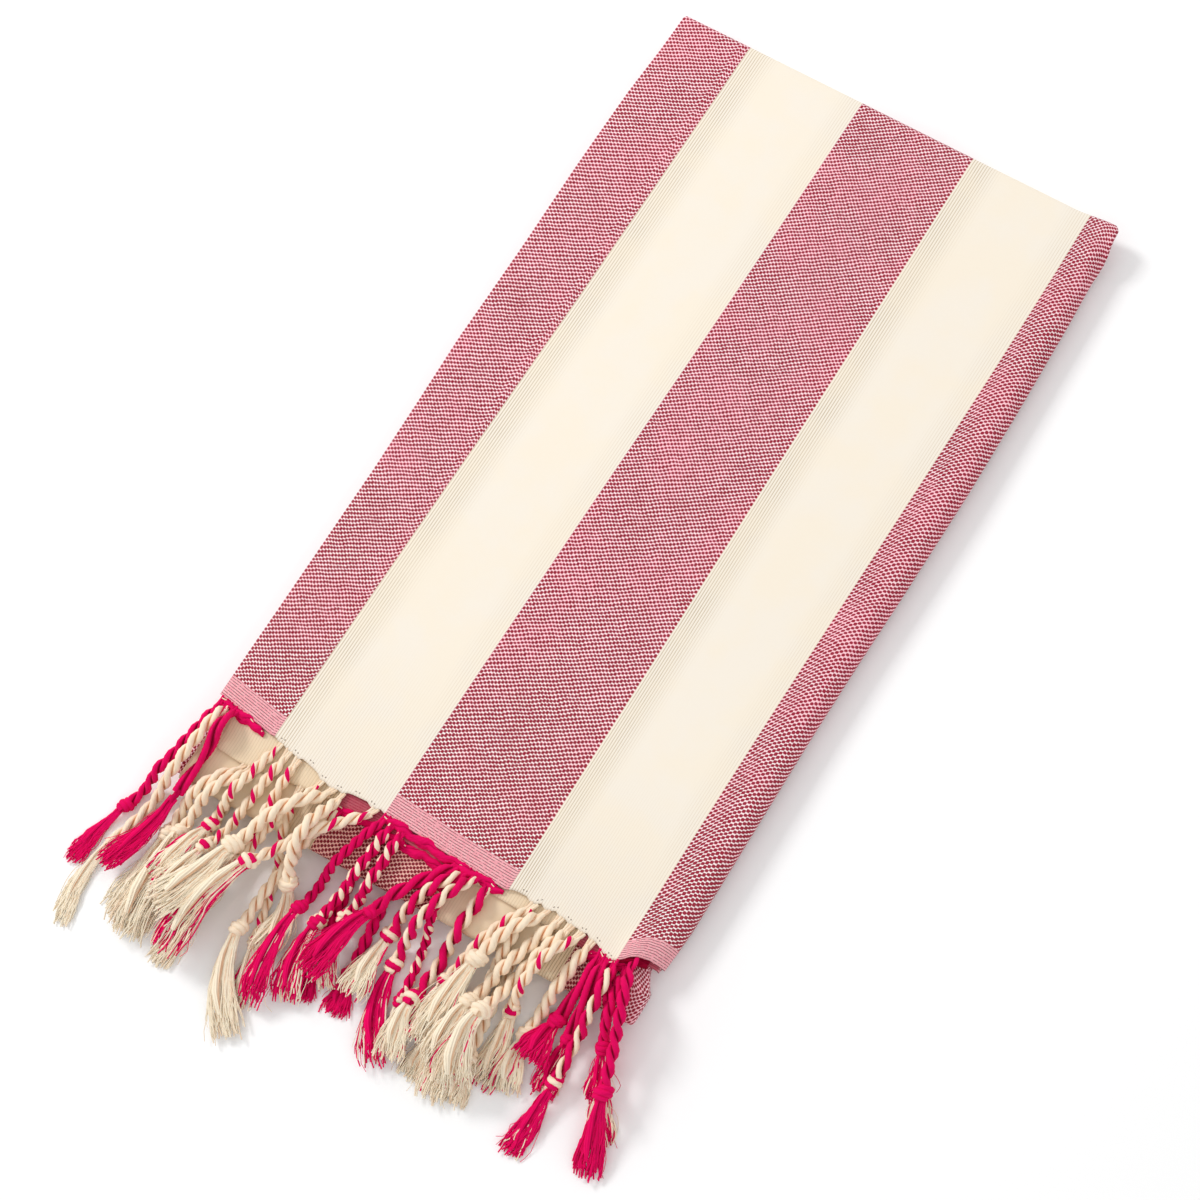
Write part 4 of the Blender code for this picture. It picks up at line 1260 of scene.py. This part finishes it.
class LooseYarnTree(YarnTree):
    """Spreads loose yarns along each guide, as below a knot, with uneven ends and a soft wave."""

    name = "loose yarn"
    INPUTS = (
        ("Yarns", "Int", 88),
        ("Half width", "Float", 7.2 * MM),
        ("Half height", "Float", 1.0 * MM),
        ("Neck", "Float", 0.30),
        ("Yarn radius", "Float", 0.48 * MM),
        ("Uneven ends", "Float", 0.22),
        ("Wave", "Float", 3.0 * MM),
        ("Wave scale", "Float", 70.0),
        ("Crimp", "Float", 1.0 * MM),
        ("Crimp scale", "Float", 3.4),
        ("Thinner ends", "Float", 0.3),
        ("Palest", "Float", -0.75),
        ("Deepest", "Float", 0.15),
        ("Seed", "Int", 7),
        ("Sides", "Int", 4),
        ("Points", "Int", 12),
    )

    def chance(self, low: float | Field, high: float | Field, step: int) -> Field:
        """One random number for each yarn. Each step gives other numbers."""
        inputs = {2: low, 3: high, "Seed": self.given["Seed"] + float(step)}
        pick = self.node("FunctionNodeRandomValue", inputs, 1, data_type="FLOAT")
        return self.node("GeometryNodeFieldOnDomain", {"Value": pick}, data_type="FLOAT", domain="CURVE")

    def swayed(self, step: int, scale: object, detail: float, spread: tuple[float, float, float]) -> Field:
        """Noise from -1 to 1 that changes along each yarn, times a spread in x, y and z."""
        where = self.node("GeometryNodeInputPosition") * self.given["Wave scale"]
        inputs = {"Vector": where, "W": self.chance(0.0, 90.0, step), "Scale": scale, "Detail": detail}
        noise = self.node("ShaderNodeTexNoise", inputs, "Color", noise_dimensions="4D")
        return (noise - (0.5, 0.5, 0.5)) * spread

    def body(self) -> Field:
        """Guide, copies, spread, cut, profile."""
        given = self.given
        yarns = self.copied(given["Yarns"])
        share = self.on_spline("Factor")
        inputs = {"Value": share, "From Max": 0.85, "To Min": given["Neck"], "To Max": 1.0}
        opened = self.node("ShaderNodeMapRange", inputs, interpolation_type="SMOOTHSTEP")
        girth = opened * self.read("girth")
        side, up = self.frame()
        angle = self.chance(0.0, math.tau, 1)
        reach = self.maths("SQRT", self.chance(0.0, 1.0, 2))
        wide = self.maths("COSINE", angle) * reach * given["Half width"]
        high = self.maths("SINE", angle) * reach * given["Half height"]
        spread = side * (wide * girth) + up * (high * girth)
        wave = self.swayed(3, 1.0, 1.0, (2.0, 2.0, 0.7)) * (given["Wave"] * share * 2.0)
        wave = wave + self.swayed(8, given["Crimp scale"], 0.0, (2.0, 2.0, 1.0)) * given["Crimp"]
        position = self.node("GeometryNodeInputPosition") + spread + wave
        yarns = self.moved(yarns, self.kept_above(position, given["Yarn radius"]))
        cut = 1.0 - self.chance(0.0, 1.0, 4) * given["Uneven ends"]
        yarns = self.node("GeometryNodeTrimCurve", {"Curve": yarns, "End": cut}, mode="FACTOR")
        yarns = self.node("GeometryNodeResampleCurve", {"Curve": yarns, "Count": given["Points"]})
        flecked = self.maths("LESS_THAN", self.chance(0.0, 1.0, 5), self.read("fleck"))
        yarns = self.store(yarns, "dye", abs(self.read("dye") - flecked))
        yarns = self.store(yarns, "along", self.on_spline("Length") + self.chance(0.0, 1.0, 6))
        yarns = self.store(yarns, "shade", self.chance(given["Palest"], given["Deepest"], 7))
        yarns = self.store(yarns, "fleck", 0.0)
        thin = 1.0 - self.on_spline("Factor") * given["Thinner ends"]
        mesh = self.swept(yarns, self.circle(), given["Yarn radius"] * thin)
        return self.node("GeometryNodeSetShadeSmooth", {"Geometry": mesh})


SINGLE = {"Plies": 1, "Coil_radius": 0.0}  # one ply that follows its guide
PLAIN = SINGLE | {"Lobes": 1, "Lobe_depth": 0.0}  # and that is smooth


class Strands(Enum):
    """The kinds of strand in a fringe, in the order they are joined. Each value is its tree's inputs.

    LOOSE and STRAY grow in the tree of loose yarn, and the others in that of twisted cords.
    """

    ROPE = {"Plies": 2}
    BAND = SINGLE | {"Ply_radius": 1.55 * MM}
    CORE = SINGLE | {"Ply_radius": 1.5 * MM}
    BODY = {
        "Coil_radius": 2.5 * MM,
        "Ply_radius": 1.55 * MM,
        "Ply_turn_length": 0.15,
        "Lobes": 9,
        "Lobe_depth": 0.2,
        "Sides": 36,
    }
    STRAY = {
        "Yarns": 18,
        "Half_width": 9 * MM,
        "Yarn_radius": 0.24 * MM,
        "Wave": 5 * MM,
        "Uneven_ends": 0.3,
        "Sides": 3,
    }
    LOOSE = {"Yarns": 88}
    GATHERED = PLAIN | {"Ply_radius": 0.8 * MM, "Sides": 6}
    ROLL = {"Coil_radius": 0.6 * MM, "Ply_radius": 1.4 * MM, "Turn_length": 34 * MM}
    THREAD = PLAIN | {"Ply_radius": 0.32 * MM, "Sides": 5}


@dataclass
class Fringe:
    """The fringe of one hem stripe: gathered warp, twisted cords, knots and tassels in one piece."""

    cloth: FoldedCloth
    routes: dict[tuple[str, int], np.ndarray]
    cord_tree: TwistedCordTree
    loose_tree: LooseYarnTree
    neck: float = 6.5 * MM  # from a rope's end to where its tassel begins to open
    knot_middle: float = 4.5 * MM
    knot_turns: float = 1.35
    knot_radius: float = 2.7 * MM
    knot_length: float = 6.0 * MM
    knot_slant: float = 0.9 * MM
    knot_wide: float = 1.12
    knot_high: float = 0.9
    gather_step: float = 1.5 * MM
    gather_reach: float = 3.2 * MM  # how far beside a cord's root its warp comes from
    merge: float = 6.5 * MM
    rim_step: float = 1.2 * MM
    gather_inset: float = 0.4 * MM  # from a stripe's ends to its first and last gathered warp
    rim_inset: float = 0.8 * MM  # and to its roll's ends
    thread_out: float = 0.9 * MM  # where the pale weft thread lies on the roll
    thread_up: float = 0.75 * MM
    arch_from: float = 106 * MM  # past this the upper hem arches, and its inside shows, painted dark as shade
    arch_to: float = 118 * MM
    from_arch: float = 110  # a cord with its root past this, in millimetres, comes from inside it
    root_share: float = 0.55  # a cord's share of its thickness at its root
    under_fold: float = 0.57  # and where a floor cord lies under the near fold

    # A knot's core: millimetres past the rope, and how much it swells there.
    CORE = ((1.0, 0.0), (2.5, 0.5), (4.5, 0.75), (6.5, 0.5), (8.5, 0.0))
    # A tassel's close body: share of its length, which is 0.8 of the tassel's, and of its thickness.
    BODY = ((0, 0.45), (0.3, 0.85), (0.75, 0.95), (1, 0.5))
    BODY_LENGTH = 0.8
    # The rolls under a dyed hem and inside its arch, in millimetres from its edge: out, down, and size.
    ROLLS = ((1.3, 0.25, 1.0), (2.3, 0.9, 0.9))
    ARCH_ROLLS = ((0.6, 1.9), (3.0, 2.1))

    def ropes(self, guides: Guides, hem: str, line: np.ndarray, cord: Cord, phase: float) -> None:
        """Adds a cord's twisted part, thin at its root and, on the floor, under the near fold."""
        at = np.arange(0, cord.rope * MM + 4 * MM, 0.9 * MM)
        path = walked(line, at)
        if hem == "top" and cord.root > self.from_arch:
            inside = path[0] + np.linspace(6, 1, 6)[:, None] * MM * (0.1, 1.0, -0.5)
            at, path = np.concatenate((np.full(6, 3 * MM), at)), np.vstack((inside, path))
        girth = np.full(len(at), cord.girth)
        if hem == "floor":
            past = self.cloth.line(self.cloth.NEAR_FOLD, path[:, 0]) - path[:, 1]
            girth = girth * (self.under_fold + (1 - self.under_fold) * smooth(past, 3 * MM, 13 * MM))
        girth = girth * (self.root_share + (1 - self.root_share) * smooth(at, 0, 7 * MM))
        dye, second, fleck, size, second_size = cord.yarn.value
        guides.add(
            path,
            girth=girth * size,
            second_girth=girth * second_size,
            dye=dye,
            second_dye=second,
            fleck=fleck,
            phase=phase,
            coils=cord.coils,
        )

    def knot(self, bands: Guides, cores: Guides, line: np.ndarray, cord: Cord, phase: float) -> None:
        """Adds a cord's knot: its core, and a band of each ply wound aslant round it."""
        end = cord.rope * MM
        at, swell = np.array(self.CORE).T
        path = walked(line, end + at * MM)
        # Painted shade: the core between the knot's bands is painted deeper, shade 0.4.
        cores.add(path, girth=(1 + swell * cord.knot) * cord.girth, dye=cord.yarn.value[0], shade=0.4)
        if not cord.knot:
            return
        turn = np.linspace(0, 1, 22)
        centre = walked(line, end + self.knot_middle + (turn - 0.5) * self.knot_length)
        ahead = centre[-1] - centre[0]
        ahead /= np.linalg.norm(ahead)
        side = np.cross(ahead, (0, 0, 1.0))
        side /= np.linalg.norm(side)
        up = np.cross(side, ahead)
        # A band is full in its middle and tight at both ends.
        full = self.knot_radius * cord.girth * (0.4 + 0.6 * cord.knot)
        radius = full * np.sin(np.pi * np.clip(turn * 1.1 + 0.02, 0.12, 0.95)) ** 0.35
        for ply in range(2):
            angle = math.tau * (self.knot_turns * turn + 0.5 * ply + phase)
            slant = self.knot_slant * np.cos(angle)
            ring = centre + slant[:, None] * ahead
            ring = ring + (radius * np.cos(angle))[:, None] * side * self.knot_wide
            ring = ring + (radius * np.sin(angle))[:, None] * up * self.knot_high
            fleck = 4 * cord.yarn.value[2]
            bands.add(ring, girth=cord.girth, dye=cord.yarn.value[ply], fleck=fleck, phase=phase)

    def tassel(self, guides: dict[Strands, Guides], line: np.ndarray, cord: Cord, index: int) -> None:
        """Adds a cord's tassel: its close body, the loose yarns on it and the strays beside it."""
        rope, total = cord.rope * MM, lengths(line)[-1]
        size = cord.girth * cord.spread
        path = walked(line, np.linspace(rope + self.neck, total, 12))
        guides[Strands.LOOSE].add(path, girth=size, dye=1.0, fleck=cord.pale)
        guides[Strands.STRAY].add(path, girth=size, dye=1.0, fleck=min(1.0, cord.pale + 0.12))
        end = rope + self.BODY_LENGTH * (total - rope)
        path = walked(line, np.linspace(rope + self.neck, end, 24))
        full = np.interp(np.linspace(0, 1, 24), *np.array(self.BODY).T) * size
        dye = 1.0 if cord.pale < 0.5 else 0.0
        phase = 0.03 * (index % 3)
        guides[Strands.BODY].add(path, girth=full, dye=dye, coils=0.03, phase=phase, shade=-0.22)

    def gathers(self, guides: Guides, hem: str, members: dict[int, Cord], stripe: HemStripe) -> None:
        """Adds the warp that leaves the hem and runs sideways into each cord's root."""
        edge = self.cloth.cut_edge(hem)
        start, end = stripe.start * MM, stripe.end * MM
        roots = np.array([cord.root * MM for cord in members.values()])
        count = max(2, round((end - start) / self.gather_step))
        widest = self.gather_reach * (1.0 if stripe.dyed else 0.6)
        t = np.linspace(0, 1, 9)[:, None]
        for k, x in enumerate(np.linspace(start + self.gather_inset, end - self.gather_inset, count)):
            nearest = int(np.abs(roots - x).argmin())
            offset = x - roots[nearest]
            if abs(offset) > widest or hem == "top" and x > self.arch_from:
                continue
            line = self.routes[hem, list(members)[nearest]]
            reach = self.merge + min(abs(offset) * 0.5, 5 * MM)
            y, z = beside(edge, x)
            first = np.array((x, y + 0.6 * MM, z + 0.15 * MM * (-1) ** k))
            inwards = 0.25 * math.copysign(min(abs(offset), 2 * MM), -offset)
            out = first + np.array((inwards, -2.0 * MM, -0.1 * MM))
            squeeze = np.array((np.clip(offset, -MM, MM) * 0.8, 0, 0.4 * MM * math.sin(k * 2.4)))
            corner = walked(line, reach * 0.55) + squeeze
            last = walked(line, reach) + squeeze * 0.5
            # A soft curve: straight out of the hem, and then sideways into the cord.
            path = (1 - t) ** 3 * first + 3 * (1 - t) ** 2 * t * out
            path = path + 3 * (1 - t) * t**2 * corner + t**3 * last
            guides.add(path, girth=1.0, dye=float(stripe.dyed), shade=0.12 * (k % 3))

    def rim(self, rolls: Guides, threads: Guides, hem: str, stripe: HemStripe) -> None:
        """Adds the roll of gathered warp under a fuchsia stripe's hem, the pale weft thread on it, and rolls
        inside the arch that are painted dark as shade.
        """
        edge = self.cloth.cut_edge(hem)
        end = stripe.end * MM
        last = self.arch_from if hem == "top" and end > self.arch_from else end
        x = np.arange(stripe.start * MM + self.rim_inset, last - self.rim_inset, self.rim_step)
        y, z = beside(edge, x)
        # Waves of unlike length, in radians a metre, make every stretch of the roll look different.
        sway = 0.5 * MM * np.sin(x * 410 + 1.0) + 0.3 * MM * np.sin(x * 930)
        swell = 0.95 + 0.35 * np.sin(x * 260 + 2.0) ** 2
        swell = swell * (0.35 + 0.65 * smooth(np.minimum(x - x[0], x[-1] - x), 0, 5 * MM))
        for out, down, size in self.ROLLS:
            part = (0.8 + 0.3 * np.abs(np.sin(x * 150 + out))) * swell * size
            row = np.column_stack((x, y - out * MM + sway, z - down * MM))
            rolls.add(row, girth=part, dye=1.0, phase=stripe.start + out)
        if last < end:
            x_arch = np.arange(last - 4 * MM, self.arch_to, self.rim_step)
            y_arch, z_arch = beside(edge, x_arch)
            # Painted shade: the rolls inside the arch are painted deep crimson, shade 1.2.
            for inside, down in self.ARCH_ROLLS:
                row = np.column_stack((x_arch, y_arch + inside * MM, z_arch - down * MM))
                rolls.add(row, girth=1.0, dye=1.0, phase=inside, shade=1.2)
        lift = z + self.thread_up + 0.3 * MM * np.sin(x * 700)
        row = np.column_stack((x, y - self.thread_out + sway, lift))
        for first in range(0, len(x) - 2, 5):
            threads.add(row[first : first + 3], girth=1.0, dye=0.0)

    def build(
        self, hem: str, cords: tuple, stripe: HemStripe, finish: TwistedYarn, material: bpy.types.Material
    ) -> bpy.types.Object:
        """Makes the piece of one stripe and lets it stand for its node.

        Args:
            hem: Which hem it grows from.
            cords: All the cords of that hem.
            stripe: The part of the hem that this piece covers.
            finish: The yarn; not used.
            material: The material made of that finish.

        Returns:
            The joined piece.
        """
        node = f"fringe_{hem}_{stripe.name}"
        members = {i: cord for i, cord in enumerate(cords) if stripe.start < cord.root < stripe.end}
        guides = {kind: Guides() for kind in Strands}
        for i, cord in members.items():
            line, phase = self.routes[hem, i], 0.37 * i
            self.ropes(guides[Strands.ROPE], hem, line, cord, phase)
            self.knot(guides[Strands.BAND], guides[Strands.CORE], line, cord, phase)
            self.tassel(guides, line, cord, i)
        self.gathers(guides[Strands.GATHERED], hem, members, stripe)
        if stripe.dyed:
            self.rim(guides[Strands.ROLL], guides[Strands.THREAD], hem, stripe)
        seeds = {Strands.STRAY: len(node), Strands.LOOSE: len(node) + 10 * len(members)}
        parts = []
        for kind, lines in guides.items():
            if lines.count:
                obj = lines.build(kind.name.lower() if parts else node)
                tree = self.loose_tree if kind in seeds else self.cord_tree
                seed = {"Seed": seeds[kind]} if kind in seeds else {}
                parts.append(tree.grow(obj, material, **kind.value, **seed))
        piece = joined(parts)
        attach(piece, "root")
        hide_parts(node)
        piece.name = f"cords_{hem}_{stripe.name}"
        return piece


def joined(parts: list[bpy.types.Object]) -> bpy.types.Object:
    """Joins plain meshes into the first one."""
    for obj in bpy.context.view_layer.objects:
        obj.select_set(obj in parts)
    bpy.context.view_layer.objects.active = parts[0]
    bpy.ops.object.join()
    return parts[0]


# ---------------------------------------------------------------- studio


@dataclass
class Studio:
    """Camera, white floor and soft light."""

    camera_at: Triple = (0.204892, -0.168808, 0.854292)
    right: Triple = (0.83939559, 0.53477533, -0.09711017)
    down: Triple = (0.49519894, -0.82610982, -0.26892487)
    forward: Triple = (-0.22403805, 0.1776455, -0.95825311)
    lens: float = 54.65
    sensor: float = 36.0
    floor_size: float = 6.0
    floor_at: float = -0.2 * MM
    surround: float = 0.80
    lamp_at: Triple = (-1.88, 0.40, 1.61)
    lamp_size: float = 0.6
    lamp_watts: float = 27

    def camera(self) -> None:
        """Puts the camera where the photograph was taken from."""
        data = bpy.data.cameras.new("camera")
        data.lens, data.sensor_width = self.lens, self.sensor
        data.clip_start, data.clip_end = 0.01, 50
        obj = shown("camera", data)
        axes = Matrix((self.right, -Vector(self.down), -Vector(self.forward))).transposed()
        obj.matrix_world = Matrix.Translation(self.camera_at) @ axes.to_4x4()
        bpy.context.scene.camera = obj

    def floor(self, finish: PaperFloor) -> None:
        """Lays the floor just under the towel."""
        half = self.floor_size / 2
        corners = [(-half, -half, 0), (half, -half, 0), (half, half, 0), (-half, half, 0)]
        mesh = bpy.data.meshes.new("floor")
        mesh.from_pydata(corners, [], [(0, 1, 2, 3)])
        mesh.materials.append(finish.material())
        obj = shown("floor", mesh)
        obj.location.z = self.floor_at

    def lights(self) -> None:
        """A big soft lamp from the upper left, and an even white surround."""
        scene = bpy.context.scene
        world = bpy.data.worlds.new("surround")
        scene.world = world
        world.use_nodes = True
        background = world.node_tree.nodes["Background"]
        background.inputs["Color"].default_value = (1, 1, 1, 1)
        background.inputs["Strength"].default_value = self.surround
        data = bpy.data.lights.new("softbox", "AREA")
        data.shape, data.energy = "RECTANGLE", self.lamp_watts
        data.size = data.size_y = self.lamp_size
        obj = shown("softbox", data)
        obj.location = self.lamp_at
        obj.rotation_euler = (Vector((0, 0, 0)) - obj.location).to_track_quat("-Z", "Y").to_euler()
        scene.view_settings.view_transform = "Standard"


def main() -> None:
    """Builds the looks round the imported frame, in order."""
    logging.basicConfig(level=logging.INFO, format="%(name)s: %(message)s")
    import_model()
    studio = Studio()
    studio.camera()
    studio.floor(PaperFloor())
    studio.lights()
    cloth = FoldedCloth()
    sheet = cloth.build(WovenCotton())
    LOG.info("cloth: %d faces", len(sheet.data.polygons))
    fringe = Fringe(cloth, CordLaying(cloth).routes(), TwistedCordTree(), LooseYarnTree())
    finishes = {False: TwistedYarn("cream yarn"), True: TwistedYarn("fuchsia yarn")}
    materials = {dyed: finish.material() for dyed, finish in finishes.items()}
    for hem, cords, stripes in HEMS:
        for stripe in stripes:
            piece = fringe.build(hem, cords, stripe, finishes[stripe.dyed], materials[stripe.dyed])
            LOG.info("%s: %d faces", piece.name, len(piece.data.polygons))


if __name__ == "__main__":
    main()
